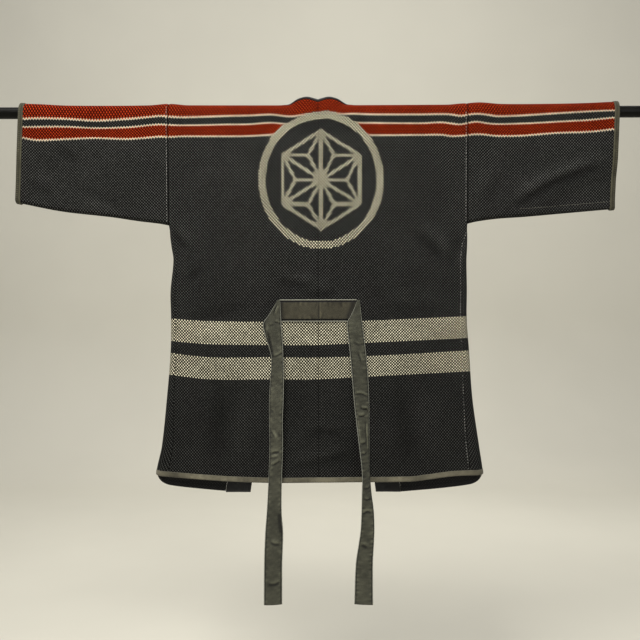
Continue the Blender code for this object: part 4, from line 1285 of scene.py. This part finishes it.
def weave_group():
    """Staggered stitches: the reach from each stitch's middle, its place on the cloth, and its chance."""
    sizes = {"Slant": STITCH_SLANT, "Pitch Across": STITCH_ACROSS, "Pitch Down": STITCH_DOWN}
    outputs = ("Reach", "Stitch Across", "Stitch Down", "Chance")
    make, given, result = node_group("staggered stitches", {"Across": 0.0, "Down": 0.0, **sizes}, outputs)
    across, down = (make.over(given[way], given[f"Pitch {way}"]) for way in ("Across", "Down"))
    first, second = make.plus(across, down), make.minus(across, down)
    first_id, second_id = make.math("ROUND", first), make.math("ROUND", second)
    first_off, second_off = make.minus(first, first_id), make.minus(second, second_id)
    half_across, half_down = (make.times(given[f"Pitch {way}"], 0.5) for way in ("Across", "Down"))
    stitch_across = make.times(make.plus(first_id, second_id), half_across)
    stitch_down = make.times(make.minus(first_id, second_id), half_down)
    lean = make.times(given["Slant"], make.math("SIGN", stitch_across))
    first_part = make.times(make.times(first_off, first_off), make.plus(1.0, lean))
    second_part = make.times(make.times(second_off, second_off), make.minus(1.0, lean))
    reach = make.plus(first_part, second_part)
    ids = make.add("ShaderNodeCombineXYZ", {"X": first_id, "Y": second_id}).outputs[0]
    chance = make.add("ShaderNodeTexWhiteNoise", {"Vector": ids}, noise_dimensions="2D").outputs["Value"]
    make.give_all(result, dict(zip(outputs, (reach, stitch_across, stitch_down, chance))))
    return make.tree


def stripes_group():
    """The red stripes and cream lines of the shoulders, and the cream bands of the waist."""
    places = {name.replace("_", " ").title(): place for name, place in {**LINES, **BANDS}.items()}
    sizes = {"Waver": LINE_WAVER, "Line Width": LINE_WIDTH, **places}
    inputs = {"Across": 0.0, "Down": 0.0, "Stitch Down": 0.0, **sizes}
    make, given, result = node_group("stripes", inputs, ("Red", "Cream", "Line"))
    down = make.size_of(given["Stitch Down"])

    def between(low, high):
        return make.times(make.is_over(down, given[low]), make.is_under(down, given[high]))

    half_line = make.times(given["Line Width"], 0.5)
    cream = between("First Band Top", "First Band Foot")
    cream = make.plus(cream, between("Second Band Top", "Second Band Foot"))
    zigzag = make.math("PINGPONG", given["Across"], STITCH_ACROSS / 2)
    zigzag = make.minus(make.over(zigzag, STITCH_ACROSS / 4), 1.0)
    true_down = make.plus(make.size_of(given["Down"]), make.times(zigzag, given["Waver"]))
    line = 0.0
    for name in ("Upper Line", "Middle Line", "Lower Line"):
        off = make.size_of(make.minus(true_down, given[name]))
        line = make.plus(line, make.ramp(off, half_line, make.times(half_line, 0.5)), limit=True)
    red = make.plus(make.is_under(down, given["Upper Line"]), between("Middle Line", "Lower Line"))
    make.give_all(result, {"Red": red, "Cream": cream, "Line": line})
    return make.tree


def ring_group():
    """The ring on the back, with a hemp leaf figure in it: what is inside, and what is cream."""
    sizes = {
        "Ring Across": RING_ACROSS, "Ring Down": RING_DOWN, "Half Width": RING_HALF_WIDTH,
        "Half Height": RING_HALF_HEIGHT, "Stroke": RING_STROKE,
        "Leaf Radius": LEAF_RADIUS, "Leaf Stroke": LEAF_STROKE,
    }
    inputs = {"Across": 0.0, "Down": 0.0, **sizes}
    make, given, result = node_group("ring and leaf", inputs, ("Inside", "Cream"))
    x, z = (make.minus(given[way], given[f"Ring {way}"]) for way in ("Across", "Down"))

    def reach(width, height):
        """1 on an upright oval round the ring's middle, and more outside it."""
        shares = [make.over(make.size_of(off), half) for off, half in ((x, width), (z, height))]
        return make.plus(*(make.math("POWER", share, 2.0) for share in shares))

    inside = make.is_under(reach(given["Half Width"], given["Half Height"]), 1.0)
    hole = [make.minus(given[name], given["Stroke"]) for name in ("Half Width", "Half Height")]
    ring = make.times(inside, make.is_over(reach(*hole), 1.0))

    # The leaf repeats twelve times round its middle, so one sector is drawn and folded over: its
    # spoke, its outer edge, the line in from the corner, and the line half way out from the middle
    upright = make.times(z, make.over(given["Half Width"], given["Half Height"]))
    away = make.math("SQRT", make.plus(make.times(x, x), make.times(upright, upright)))
    folded = make.math("PINGPONG", make.size_of(make.math("ARCTAN2", x, upright)), LEAF_SECTOR)
    u, v = make.times(away, make.math("COSINE", folded)), make.times(away, make.math("SINE", folded))
    radius, stroke = given["Leaf Radius"], make.times(given["Leaf Stroke"], 0.5)
    cos, sin = math.cos(LEAF_SECTOR), 0.5
    edge_off = make.minus(make.plus(make.times(u, cos), make.times(v, sin)), make.times(radius, cos))
    to_corner = make.plus(make.times(make.minus(u, radius), sin), make.times(v, cos))
    to_middle = make.minus(make.times(u, sin), make.times(v, cos))
    to_middle = make.plus(make.size_of(to_middle), make.is_over(u, make.times(radius, 0.5)))
    nearest = make.smaller(v, make.size_of(edge_off))
    nearest = make.smaller(nearest, make.size_of(to_corner))
    nearest = make.smaller(nearest, to_middle)
    leaf = make.times(make.is_under(nearest, stroke), make.is_under(edge_off, stroke))
    make.give_all(result, {"Inside": inside, "Cream": make.larger(ring, leaf)})
    return make.tree


# Fading shows where a wide noise is between these values. Lint shows where a fine noise is over a
# limit, which is lower where there are more specks
FADING_FROM, FADING_TO = 0.32, 0.68
LINT_LIMIT, LINT_LIMIT_DROP, LINT_SOFTNESS = 0.80, 0.25, 0.05


def age_group():
    """Uneven fading of dyed cotton, with specks of lint and dust on it."""
    inputs = {"Position": None, "Patch Size": 0.09, "Speck Size": 0.0022, "Specks": 0.2}
    make, given, result = node_group("fading and lint", inputs, ("Fading", "Lint"))
    wide = make.noise(given["Position"], given["Patch Size"], detail=4.0, roughness=0.6)
    fine = make.noise(given["Position"], given["Speck Size"], detail=2.0, roughness=0.7)
    limit = make.minus(LINT_LIMIT, make.times(given["Specks"], LINT_LIMIT_DROP))
    lint = make.ramp(fine, limit, make.plus(limit, LINT_SOFTNESS))
    make.give_all(result, {"Fading": make.ramp(wide, FADING_FROM, FADING_TO), "Lint": lint})
    return make.tree


def fabric_group():
    """A fine plain weave: threads over and under each other."""
    inputs = {"Across": 0.0, "Down": 0.0, "Thread": 0.0006}
    make, given, result = node_group("plain weave", inputs, ("Height",))
    turns = [make.times(make.over(given[way], given["Thread"]), math.pi) for way in ("Across", "Down")]
    crossing = make.times(*(make.math("SINE", turn) for turn in turns))
    make.give(result["Height"], make.plus(make.times(crossing, 0.5), 0.5))
    return make.tree


WEAVE, STRIPES, RING, AGE, FABRIC = weave_group(), stripes_group(), ring_group(), age_group(), fabric_group()


def new_material(name, roughness, sheen=0.0, specular=0.5):
    """A material, its maker and its shader's inputs. Numbers that are the same all over are set here."""
    made = bpy.data.materials.new(name)
    made.use_nodes = True
    make = NodeMaker(made.node_tree)
    shader = made.node_tree.nodes["Principled BSDF"].inputs
    make.give_all(shader, {"Roughness": roughness, "Metallic": 0.0, "Specular IOR Level": specular})
    make.give_all(shader, {"Sheen Weight": sheen, "Sheen Roughness": 0.55})
    return made, make, shader


# How much more a ridge's painted highlight lightens it than a crease's painted shade darkens it. A seam is
# darkest up to the first distance from it and open cloth from the second, and the third value is its darkest
# tone
RIDGE_SHARE = 1.6
MIDDLE_SEAM_SHADE = (0.0004, 0.0016, 0.70)
ARMHOLE_SEAM_SHADE = (0.0008, 0.0024, 0.12)


def crease_shade(make, strength):
    """Painted highlight on ridges and painted shade in creases, by the relief attribute."""
    attribute = make.add("ShaderNodeAttribute", attribute_name="relief", attribute_type="GEOMETRY")
    relief = attribute.outputs["Fac"]
    lighter = make.times(make.larger(relief, 0.0), strength * RIDGE_SHARE)
    darker = make.times(make.smaller(relief, 0.0), strength)
    return make.plus(1.0, make.plus(lighter, darker))


def seam_shade(make, across):
    """1 on open cloth, and darker in the seams down the middle of the back and round the armholes."""
    off_middle = make.size_of(across)
    off_armhole = make.size_of(make.minus(off_middle, SHOULDER_HALF_WIDTH))
    at_middle = make.ramp(off_middle, *MIDDLE_SEAM_SHADE, 1.0)
    at_armhole = make.ramp(off_armhole, *ARMHOLE_SEAM_SHADE, 1.0)
    return make.smaller(at_middle, at_armhole)


# Colours of the stitches and of the gaps between them
BLACK_STITCH, BLACK_GAP = (0.080, 0.080, 0.074, 1), (0.0042, 0.0042, 0.0038, 1)
RED_STITCH, RED_GAP = (0.420, 0.037, 0.007, 1), (0.030, 0.0024, 0.0006, 1)
CREAM_STITCH, CREAM_GAP = (0.960, 0.900, 0.660, 1), (0.003, 0.003, 0.002, 1)
LINE_STITCH = (0.940, 0.800, 0.560, 1)
INNER_STITCH, INNER_GAP = (0.022, 0.022, 0.022, 1), (0.008, 0.008, 0.008, 1)
LINT = (0.200, 0.200, 0.190, 1)

# Painted light and shade: how light the cloth is painted at the shoulder and at the foot, with the places
# between which it falls off, and how much cream is lightened back towards the foot
FALL_FROM, FALL_TO = 0.10, 0.72
LIGHT_AT_SHOULDER, LIGHT_AT_FOOT = 1.04, 0.72
CREAM_KEEPS = 0.24

# The stitches: the reach at their foot and at their top, how high they stand, how much their tones
# differ, and how black ones darken above the shoulder's lowest line. A line is a low bead of its own
BEAD_FOOT, BEAD_TOP, BEAD_HEIGHT = 0.150, 0.020, 0.0007
DARKEST_STITCH, LIGHTEST_STITCH = 0.76, 1.04
SHOULDER_TONE, SHOULDER_SOFTNESS = 0.75, 0.010
LINE_BEAD = 0.58
FADED_LIGHTER, CREASE_STRENGTH, LINT_SHARE = 0.20, 0.42, 0.35
FIBRE_SIZE, FIBRE_RISE = 0.0009, 0.25
GAP_ROUGHNESS, STITCH_ROUGHNESS = 0.95, 0.80

# The inner side's stitches, in the same way
INNER_BEAD_FOOT, INNER_BEAD_TOP, INNER_BEAD_HEIGHT = 0.145, 0.030, 0.0005
INNER_DARKEST, INNER_LIGHTEST = 0.8, 1.2

# Plain cotton: its tones from least to most faded, between its streaks and along them, and from low
# to high threads, how strongly the painted shade and highlight of its creases and its lint show, how much
# smoother it is where it has faded, and the shares of a groove's width, out from its middle, up to which
# its painted shade is darkest and from which it ends
FADED_TONES = (0.80, 1.08)
STREAK_SIZE, STREAK_FROM, STREAK_TO = 0.012, 0.35, 0.7
STREAK_TONES = (-0.10, 0.16)
THREAD_TONES = (0.82, 1.10)
PLAIN_CREASE_STRENGTH, PLAIN_LINT_SHARE, FADED_SMOOTHER = 0.72, 0.25, 0.1
GROOVE_DARK_TO, GROOVE_ENDS_AT = 0.35, 0.6

# Sewing thread's fuzz, and the tones that it gives
FUZZ_SIZE, FUZZ_RISE = 0.0011, 0.0002
FUZZ_FROM, FUZZ_TO = 0.3, 0.7
FUZZ_TONES = (0.75, 1.15)

# The rod's paint. Scuffs are drawn out along the rod. A row of four holds the noise's values where a
# step starts and ends, and the tone or roughness at both
PAINT = (0.0045, 0.0043, 0.0032, 1)
SCUFF_SIZE, SCUFF_RISE, SCUFF_STRETCH = 0.0018, 0.00006, (0.08, 1.0, 1.0)
DUST_SIZE = 0.03
SCUFF_STEP = (0.45, 0.80, 0.8, 1.5)
DUST_STEP = (0.4, 0.8, 0.0, 0.5)
PAINT_ROUGHNESS_STEP = (0.35, 0.75, 0.26, 0.46)


def quilted_cotton():
    """Black staggered-stitch cotton with its woven stripes, bands, ring and figure."""
    made, make, shader = new_material("quilted_cotton", 0.90, specular=0.04)
    across, down = make.cloth_place()
    position = make.object_place()
    stitch = make.group(WEAVE, {"Across": across, "Down": down})
    stripes = make.group(STRIPES, {"Across": across, "Down": down, "Stitch Down": stitch["Stitch Down"]})
    ring = make.group(RING, {"Across": stitch["Stitch Across"], "Down": stitch["Stitch Down"]})
    age = make.group(AGE, {"Position": position})

    outside = make.minus(1.0, ring["Inside"])
    cream = make.larger(make.times(stripes["Cream"], outside), ring["Cream"])
    red = make.times(stripes["Red"], outside)
    way_down = make.size_of(down)
    lower_line = LINES["lower_line"]
    below = make.ramp(way_down, lower_line - SHOULDER_SOFTNESS, lower_line, SHOULDER_TONE, 1.0)
    black = make.scaled(BLACK_STITCH, below)
    raised = make.blend(cream, make.blend(red, black, RED_STITCH), CREAM_STITCH)
    sunk = make.blend(cream, make.blend(red, BLACK_GAP, RED_GAP), CREAM_GAP)
    tone = make.ramp(stitch["Chance"], 0.0, 1.0, DARKEST_STITCH, LIGHTEST_STITCH)
    tone = make.plus(tone, make.times(age["Fading"], FADED_LIGHTER))
    # Painted shade: the cloth is painted darker towards the foot, less so on cream
    kept = make.times(cream, make.ramp(way_down, FALL_FROM, FALL_TO, 0.0, CREAM_KEEPS))
    painted_falloff = make.ramp(way_down, FALL_FROM, FALL_TO, LIGHT_AT_SHOULDER, LIGHT_AT_FOOT)
    tone = make.times(tone, make.plus(painted_falloff, kept))
    # Painted shade in creases and painted highlight on ridges
    tone = make.times(tone, crease_shade(make, CREASE_STRENGTH))
    line = make.times(stripes["Line"], outside)
    raised = make.blend(line, raised, LINE_STITCH)
    raised = make.scaled(raised, make.times(tone, seam_shade(make, across)))
    bead = make.larger(make.ramp(stitch["Reach"], BEAD_FOOT, BEAD_TOP), make.times(line, LINE_BEAD))
    colour = make.blend(bead, sunk, raised)
    colour = make.blend(make.times(age["Lint"], LINT_SHARE), colour, LINT)
    fibres = make.noise(position, FIBRE_SIZE, detail=3.0)
    normal = make.bump(make.plus(bead, make.times(fibres, FIBRE_RISE)), BEAD_HEIGHT)
    roughness = make.ramp(bead, 0.0, 1.0, GAP_ROUGHNESS, STITCH_ROUGHNESS)
    make.give_all(shader, {"Base Color": colour, "Normal": normal, "Roughness": roughness})
    return made


def lining_cotton():
    """The inner side of the cloth: the same stitches in plain near-black."""
    made, make, shader = new_material("inner_cotton", 0.92, sheen=0.08, specular=0.2)
    across, down = make.cloth_place()
    position = make.object_place()
    stitch = make.group(WEAVE, {"Across": across, "Down": down, "Slant": -STITCH_SLANT})
    age = make.group(AGE, {"Position": position, "Specks": 0.1})
    raised = make.scaled(INNER_STITCH, make.ramp(age["Fading"], 0.0, 1.0, INNER_DARKEST, INNER_LIGHTEST))
    bead = make.ramp(stitch["Reach"], INNER_BEAD_FOOT, INNER_BEAD_TOP)
    colour = make.blend(bead, INNER_GAP, raised)
    make.give_all(shader, {"Base Color": colour, "Normal": make.bump(bead, INNER_BEAD_HEIGHT)})
    return made


def plain_cotton(name, colour, painted_light_and_wear, thread, width, edge, edge_wear_and_highlight, roughness, groove=None, grain=0.00022):
    """A dyed plain-weave cotton, paler along its edges, partly from wear and partly as painted highlight.
    width is the piece's, and edge the paler part's.

    groove holds the near and far side of the groove inside each edge, which gets painted shade, and how
    light that painted shade is.
    """
    made, make, shader = new_material(name, roughness, sheen=0.08, specular=0.25)
    across, down = make.cloth_place()
    position = make.object_place()
    weave = make.group(FABRIC, {"Across": across, "Down": down, "Thread": thread})["Height"]
    age = make.group(AGE, {"Position": position, "Patch Size": 0.05, "Specks": 0.15})
    streak = make.noise(position, STREAK_SIZE, detail=4.0, roughness=0.65)
    from_edge = make.smaller(across, make.minus(width, across))
    # Paler edges, partly wear and partly painted highlight
    paler = make.times(make.ramp(from_edge, edge, edge * 0.5), edge_wear_and_highlight)
    faded = make.ramp(age["Fading"], 0.0, 1.0, *FADED_TONES)
    tone = make.plus(faded, make.ramp(streak, STREAK_FROM, STREAK_TO, *STREAK_TONES))
    tone = make.times(tone, make.ramp(weave, 0.0, 1.0, *THREAD_TONES))
    # Painted shade in creases and painted highlight on ridges
    tone = make.times(tone, crease_shade(make, PLAIN_CREASE_STRENGTH))
    base = make.blend(paler, make.scaled(colour, tone), painted_light_and_wear)
    # Painted shade in the groove inside each edge
    if groove:
        near, far, light = groove
        off = make.size_of(make.minus(from_edge, (near + far) / 2))
        wide = far - near
        shade = make.ramp(off, wide * GROOVE_DARK_TO, wide * GROOVE_ENDS_AT, light, 1.0)
        base = make.scaled(base, shade)
    base = make.blend(make.times(age["Lint"], PLAIN_LINT_SHARE), base, LINT)
    rough = make.ramp(age["Fading"], 0.0, 1.0, roughness, roughness - FADED_SMOOTHER)
    make.give_all(shader, {"Base Color": base, "Normal": make.bump(weave, grain), "Roughness": rough})
    return made


def sewing_thread(name, colour):
    """Sewing thread with a little fuzz."""
    made, make, shader = new_material(name, 0.7, sheen=0.15, specular=0.3)
    fuzz = make.noise(make.object_place(), FUZZ_SIZE, detail=3.0)
    base = make.scaled(colour, make.ramp(fuzz, FUZZ_FROM, FUZZ_TO, *FUZZ_TONES))
    make.give_all(shader, {"Base Color": base, "Normal": make.bump(fuzz, FUZZ_RISE)})
    return made


def rod_lacquer():
    """Black paint on a smooth pole, with fine scuffs along it."""
    made, make, shader = new_material("black_lacquer", 0.38, specular=0.10)
    position = make.object_place()
    stretched = make.add("ShaderNodeMapping", {"Vector": position, "Scale": SCUFF_STRETCH}).outputs[0]
    scuffs = make.noise(stretched, SCUFF_SIZE, detail=5.0, roughness=0.7)
    dust = make.noise(position, DUST_SIZE, detail=4.0)
    tone = make.plus(make.ramp(scuffs, *SCUFF_STEP), make.ramp(dust, *DUST_STEP))
    base = make.scaled(PAINT, tone)
    rough = make.ramp(scuffs, *PAINT_ROUGHNESS_STEP)
    normal = make.bump(scuffs, SCUFF_RISE)
    make.give_all(shader, {"Base Color": base, "Roughness": rough, "Normal": normal})
    return made


def stitch_tree():
    """A running stitch along each line of a mesh: rounded threads, each a little uneven."""
    tree = bpy.data.node_groups.new("running stitch", "GeometryNodeTree")
    tree.interface.new_socket("Geometry", in_out="INPUT", socket_type="NodeSocketGeometry")
    sockets = {
        "Stitch Length": (NUMBER, 0.0036), "Stitch Step": (NUMBER, 0.0056), "Thread Radius": (NUMBER, 0.0005),
        "Slant": (NUMBER, 0.1), "Unevenness": (NUMBER, 0.2), "Seed": ("NodeSocketInt", 1),
        "Thread": ("NodeSocketMaterial", None),
    }
    for label, (kind, value) in sockets.items():
        socket = tree.interface.new_socket(label, in_out="INPUT", socket_type=kind)
        if value is not None:
            socket.default_value = value
    tree.interface.new_socket("Geometry", in_out="OUTPUT", socket_type="NodeSocketGeometry")
    make = NodeMaker(tree)
    given = make.add("NodeGroupInput").outputs

    def random_between(low, high):
        inputs = {2: low, 3: high, "Seed": given["Seed"]}
        return make.add("FunctionNodeRandomValue", inputs, data_type="FLOAT").outputs[1]

    curve = make.add("GeometryNodeMeshToCurve", {"Mesh": given["Geometry"]}).outputs["Curve"]
    line = {"Curve": curve, "Length": given["Stitch Step"]}
    even = make.add("GeometryNodeResampleCurve", line, mode="LENGTH")
    ball = make.add("GeometryNodeMeshUVSphere", {"Segments": 6, "Rings": 4, "Radius": 1.0}).outputs["Mesh"]
    tangent = make.add("GeometryNodeInputTangent").outputs["Tangent"]
    turn = make.add("FunctionNodeAlignEulerToVector", {"Vector": tangent}, axis="Z")
    sway = random_between(make.times(given["Slant"], -1.0), given["Slant"])
    lean = make.add("ShaderNodeCombineXYZ", {"X": sway, "Y": sway})
    leaning = make.add("FunctionNodeRotateEuler", {"Rotation": turn.outputs[0], "Rotate By": lean.outputs[0]})
    leaning.rotation_type = "EULER"
    leaning.space = "LOCAL"
    size = random_between(make.minus(1.0, given["Unevenness"]), 1.0)
    length = make.times(make.times(given["Stitch Length"], 0.5), size)
    radius = given["Thread Radius"]
    scale = make.add("ShaderNodeCombineXYZ", {"X": radius, "Y": radius, "Z": length})
    placed = make.add("GeometryNodeInstanceOnPoints", {
        "Points": even.outputs["Curve"], "Instance": ball,
        "Rotation": leaning.outputs[0], "Scale": scale.outputs[0],
    })
    real = make.add("GeometryNodeRealizeInstances", {"Geometry": placed.outputs["Instances"]})
    shaded = make.add("GeometryNodeSetShadeSmooth", {"Geometry": real.outputs[0]})
    sewn = make.add("GeometryNodeSetMaterial", {"Geometry": shaded.outputs[0], "Material": given["Thread"]})
    make.add("NodeGroupOutput", {"Geometry": sewn.outputs[0]})
    return tree


STITCH_SIZES = ("Stitch Length", "Stitch Step", "Thread Radius", "Slant", "Unevenness")


def sew(name, tree, lines, finish, *sizes):
    """Stitches along lines of points, as one plain mesh. sizes are in the order of STITCH_SIZES."""
    points = [tuple(point) for line in lines for point in line]
    edges, start = [], 0
    for line in lines:
        edges += [(start + i, start + i + 1) for i in range(len(line) - 1)]
        start += len(line)
    mesh = bpy.data.meshes.new(f"{name}_path")
    mesh.from_pydata(points, edges, [])
    path = link(f"{name}_path", mesh)
    modifier = path.modifiers.new("stitches", "NODES")
    modifier.node_group = tree
    labels = {item.name: item.identifier for item in tree.interface.items_tree if item.in_out == "INPUT"}
    for label, value in {**dict(zip(STITCH_SIZES, sizes)), "Thread": finish}.items():
        modifier[labels[label]] = value
    evaluated = path.evaluated_get(bpy.context.evaluated_depsgraph_get())
    sewn = bpy.data.meshes.new_from_object(evaluated)
    sewn.name = name
    path.modifiers.remove(modifier)
    bpy.data.objects.remove(path)
    bpy.data.meshes.remove(mesh)
    stitches = link(name, sewn)
    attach(stitches, "root")
    return stitches


QUILTED, INNER = quilted_cotton(), lining_cotton()

# Plain cottons: their colour and the colour of their paler edges, which is partly wear and partly painted
# highlight, thread, whole width, paler edge and how pale it is, and roughness. The band's and the ties'
# grooves get painted shade
COLLAR = plain_cotton(
    "collar_cotton", (0.020, 0.020, 0.0205, 1), (0.045, 0.045, 0.043, 1),
    0.0009, COLLAR_WIDTH, 0.0016, 0.7, 0.86, grain=0.0003)
BINDING = plain_cotton(
    "binding_cotton", (0.060, 0.055, 0.031, 1), (0.094, 0.088, 0.056, 1),
    0.0006, HEM_BINDING, 0.0022, 0.3, 0.85)
HEM_TAPE = plain_cotton(
    "hem_tape_cotton", (0.142, 0.129, 0.088, 1), (0.180, 0.168, 0.126, 1),
    0.0006, HEM_BINDING, 0.0022, 0.3, 0.85)
BELT = plain_cotton(
    "belt_cotton", (0.057, 0.057, 0.038, 1), (0.190, 0.192, 0.155, 1),
    0.0005, TIE_WIDTH, 0.0019, 1.0, 0.72, groove=(0.0019, 0.0044, 0.22))
BELT_BAND = plain_cotton(
    "belt_band_cotton", (0.047, 0.042, 0.025, 1), (0.270, 0.268, 0.215, 1),
    0.0005, BELT_WIDTH, 0.0019, 1.0, 0.80, groove=(0.0018, 0.0066, 0.01))
PALE_THREAD = sewing_thread("pale_thread", (0.420, 0.415, 0.380, 1))
OLIVE_THREAD = sewing_thread("olive_thread", (0.130, 0.125, 0.095, 1))

# The pieces
bodies, sleeves, cuffs, ties = {}, {}, {}, {}
for side, name in SIDE_NAMES.items():
    bodies[side] = thick_cloth(
        f"body_cloth_{name}", f"body_{name}",
        body_panel(side), CLOTH, (QUILTED, INNER), SEAM_DEPTH)
for side, name in SIDE_NAMES.items():
    sleeves[side] = thick_cloth(
        f"sleeve_cloth_{name}", f"sleeve_{name}",
        sleeve_panel(side), CLOTH, (QUILTED, INNER), SEAM_DEPTH)
    cuffs[side], _ = thick_cloth(
        f"cuff_tape_{name}", f"cuff_binding_{name}",
        cuff_panel(side), BINDING_CLOTH, (BINDING,), round_edge=0.8)
collar, _ = thick_cloth(
    "collar_band", "collar", collar_panel(), COLLAR_CLOTH, (COLLAR,), round_edge=0.9)
# The hem tape's inner face takes the near-black inner cotton, so it shows dark where the fronts' hem is seen
# from behind
hem, _ = thick_cloth(
    "hem_tape", "hem_binding",
    hem_panel(), BINDING_CLOTH, (HEM_TAPE, INNER), round_edge=0.9)
belt, _ = thick_cloth("belt_band", "belt", belt_panel(), BELT_CLOTH, (BELT_BAND,))
for side, name in SIDE_NAMES.items():
    ties[side], _ = thick_cloth(
        f"tie_tape_{name}", f"tie_{name}", tie_panel(side), BELT_CLOTH, (BELT,))

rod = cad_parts["rod"]
rod.data.materials.clear()
rod.data.materials.append(rod_lacquer())

# Stitches, along lines of the outer sides' points just inside a seam: down the back of the right
# armhole and of the left sleeve's start, down the right side seam, and under the right sleeve
SEAM_STITCHES_IN = 0.0040
ROWS_OFF_ARMPIT, ROWS_OFF_SIDE_TOP = 6, 4
SLEEVE_SEAM_COLUMN = 4
UNDERARM_ROW, UNDERARM_FROM_COLUMN = 10, 30
STITCHES = stitch_tree()
right_body, left_sleeve, right_sleeve = bodies[RIGHT][1], sleeves[LEFT][1], sleeves[RIGHT][1]
seam_column = int(np.searchsorted(EDGE_STEPS, SEAM_STITCHES_IN))
shoulder_row = LOWER_ROWS + UPPER_ROWS + len(ARMPIT_STEPS)
sleeve_back = slice(SLEEVE_FOLD_ROWS, SLEEVE_FOLD_ROWS + SLEEVE_WALL_ROWS + WRAP_ROWS // 2)
armhole_line = right_body[LOWER_ROWS + ROWS_OFF_ARMPIT : shoulder_row, seam_column]
armhole_lines = [armhole_line, left_sleeve[sleeve_back, SLEEVE_SEAM_COLUMN]]
side_lines = [right_body[: LOWER_ROWS - ROWS_OFF_SIDE_TOP, seam_column]]
underarm_lines = [right_sleeve[UNDERARM_ROW, UNDERARM_FROM_COLUMN:-1]]
pale = sew("seam_stitches", STITCHES, armhole_lines, PALE_THREAD, 0.0054, 0.0062, 0.00052, 0.25, 0.6)
mended = sew("side_stitches", STITCHES, side_lines, PALE_THREAD, 0.0044, 0.0062, 0.00066, 0.45, 1.0)
dull = sew("underarm_stitches", STITCHES, underarm_lines, OLIVE_THREAD, 0.0058, 0.0062, 0.00050, 0.10, 0.4)

# The stitch pieces that go with each side's body and sleeve, as lists
body_stitches, sleeve_stitches = {LEFT: [], RIGHT: [pale, mended]}, {LEFT: [pale], RIGHT: [dull]}
for side in SIDE_NAMES:
    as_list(body_stitches[side])
    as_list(sleeve_stitches[side])


# Studio
FLOOR_LEVEL = -1.42
FLOOR_FRONT = -6.0
BACKDROP_HALF_WIDTH = 7.0
WALL_AWAY = 3.6
WALL_HEIGHT = 4.6
SWEEP_RADIUS = 1.0
SWEEP_STEPS = 16
CAMERA_AWAY = 1.62
CAMERA_ACROSS = 0.0035
CAMERA_LEVEL = -0.4522
CAMERA_ROLL = math.radians(0.145)
BACK_PLANE = -0.018
FRAME_WIDTH = 1.379
SENSOR = 36.0
WORLD_COLOUR, WORLD_LIGHT = (0.98, 0.98, 1.0, 1), 0.42
PAPER, MOTTLE_SIZE, MOTTLE_STEP = (0.620, 0.598, 0.515, 1), 0.8, (0.2, 0.8, 0.97, 1.03)

# Soft lights: their place, what they face, their size, power and colour
SOFTBOXES = {
    "key_light": ((-0.7, -1.5, 1.7), (0, 0, -0.3), (1.2, 0.7), 78, (1.0, 0.98, 0.94)),
    "fill_light": ((1.9, -2.4, 0.6), (0, 0, -0.5), (1.4, 1.4), 14, (0.96, 0.98, 1.0)),
    "top_light": ((0.0, 0.5, 2.2), (0, 0, 0), (2.4, 1.2), 12, (1.0, 0.99, 0.96)),
    "back_light": ((0.6, 2.2, 1.4), (0, 0, -0.4), (1.8, 1.4), 30, (1.0, 0.98, 0.95)),
    "wall_light": ((0.0, 1.4, 2.0), (0, 3.6, 0.0), (4.0, 1.0), 34, (1.0, 0.99, 0.96)),
}


def studio_paper():
    """A pale matt backdrop."""
    made, make, shader = new_material("studio_paper", 0.9, specular=0.1)
    mottle = make.noise(make.object_place(), MOTTLE_SIZE, detail=3.0)
    tone = make.ramp(mottle, *MOTTLE_STEP)
    make.give(shader["Base Color"], make.scaled(PAPER, tone))
    return made


def backdrop():
    """A floor that sweeps up into a wall far behind the coat."""
    profile = [(FLOOR_FRONT, FLOOR_LEVEL)]
    for angle in np.linspace(0, math.pi / 2, SWEEP_STEPS + 1):
        y = WALL_AWAY - SWEEP_RADIUS * (1 - math.sin(angle))
        profile.append((y, FLOOR_LEVEL + SWEEP_RADIUS * (1 - math.cos(angle))))
    profile.append((WALL_AWAY, FLOOR_LEVEL + WALL_HEIGHT))
    count = len(profile)
    points = [(x, y, z) for x in (-BACKDROP_HALF_WIDTH, BACKDROP_HALF_WIDTH) for y, z in profile]
    faces = [(i, i + count, i + count + 1, i + 1) for i in range(count - 1)]
    mesh = bpy.data.meshes.new("backdrop")
    mesh.from_pydata(points, [], faces)
    mesh.materials.append(studio_paper())
    mesh.shade_smooth()
    link("backdrop", mesh)


def light_the_studio():
    world = bpy.data.worlds.new("studio")
    world.use_nodes = True
    background = world.node_tree.nodes["Background"]
    background.inputs["Color"].default_value = WORLD_COLOUR
    background.inputs["Strength"].default_value = WORLD_LIGHT
    bpy.context.scene.world = world
    for name, (place, target, size, power, colour) in SOFTBOXES.items():
        data = bpy.data.lights.new(name, "AREA")
        data.shape = "RECTANGLE"
        data.size, data.size_y = size
        data.energy = power
        data.color = colour
        lamp = link(name, data)
        lamp.location = place
        lamp.rotation_euler = (Vector(target) - Vector(place)).to_track_quat("-Z", "Y").to_euler()


def camera_from_the_back():
    """The photograph's view: straight on to the back, from about the height of the waist."""
    data = bpy.data.cameras.new("camera")
    data.sensor_width = SENSOR
    data.lens = SENSOR * (CAMERA_AWAY + BACK_PLANE) / FRAME_WIDTH
    camera = link("camera", data)
    camera.location = (CAMERA_ACROSS, -CAMERA_AWAY, CAMERA_LEVEL)
    camera.rotation_euler = (math.pi / 2, CAMERA_ROLL, 0)
    bpy.context.scene.camera = camera


backdrop()
light_the_studio()
camera_from_the_back()
bpy.context.scene.view_settings.view_transform = "Standard"
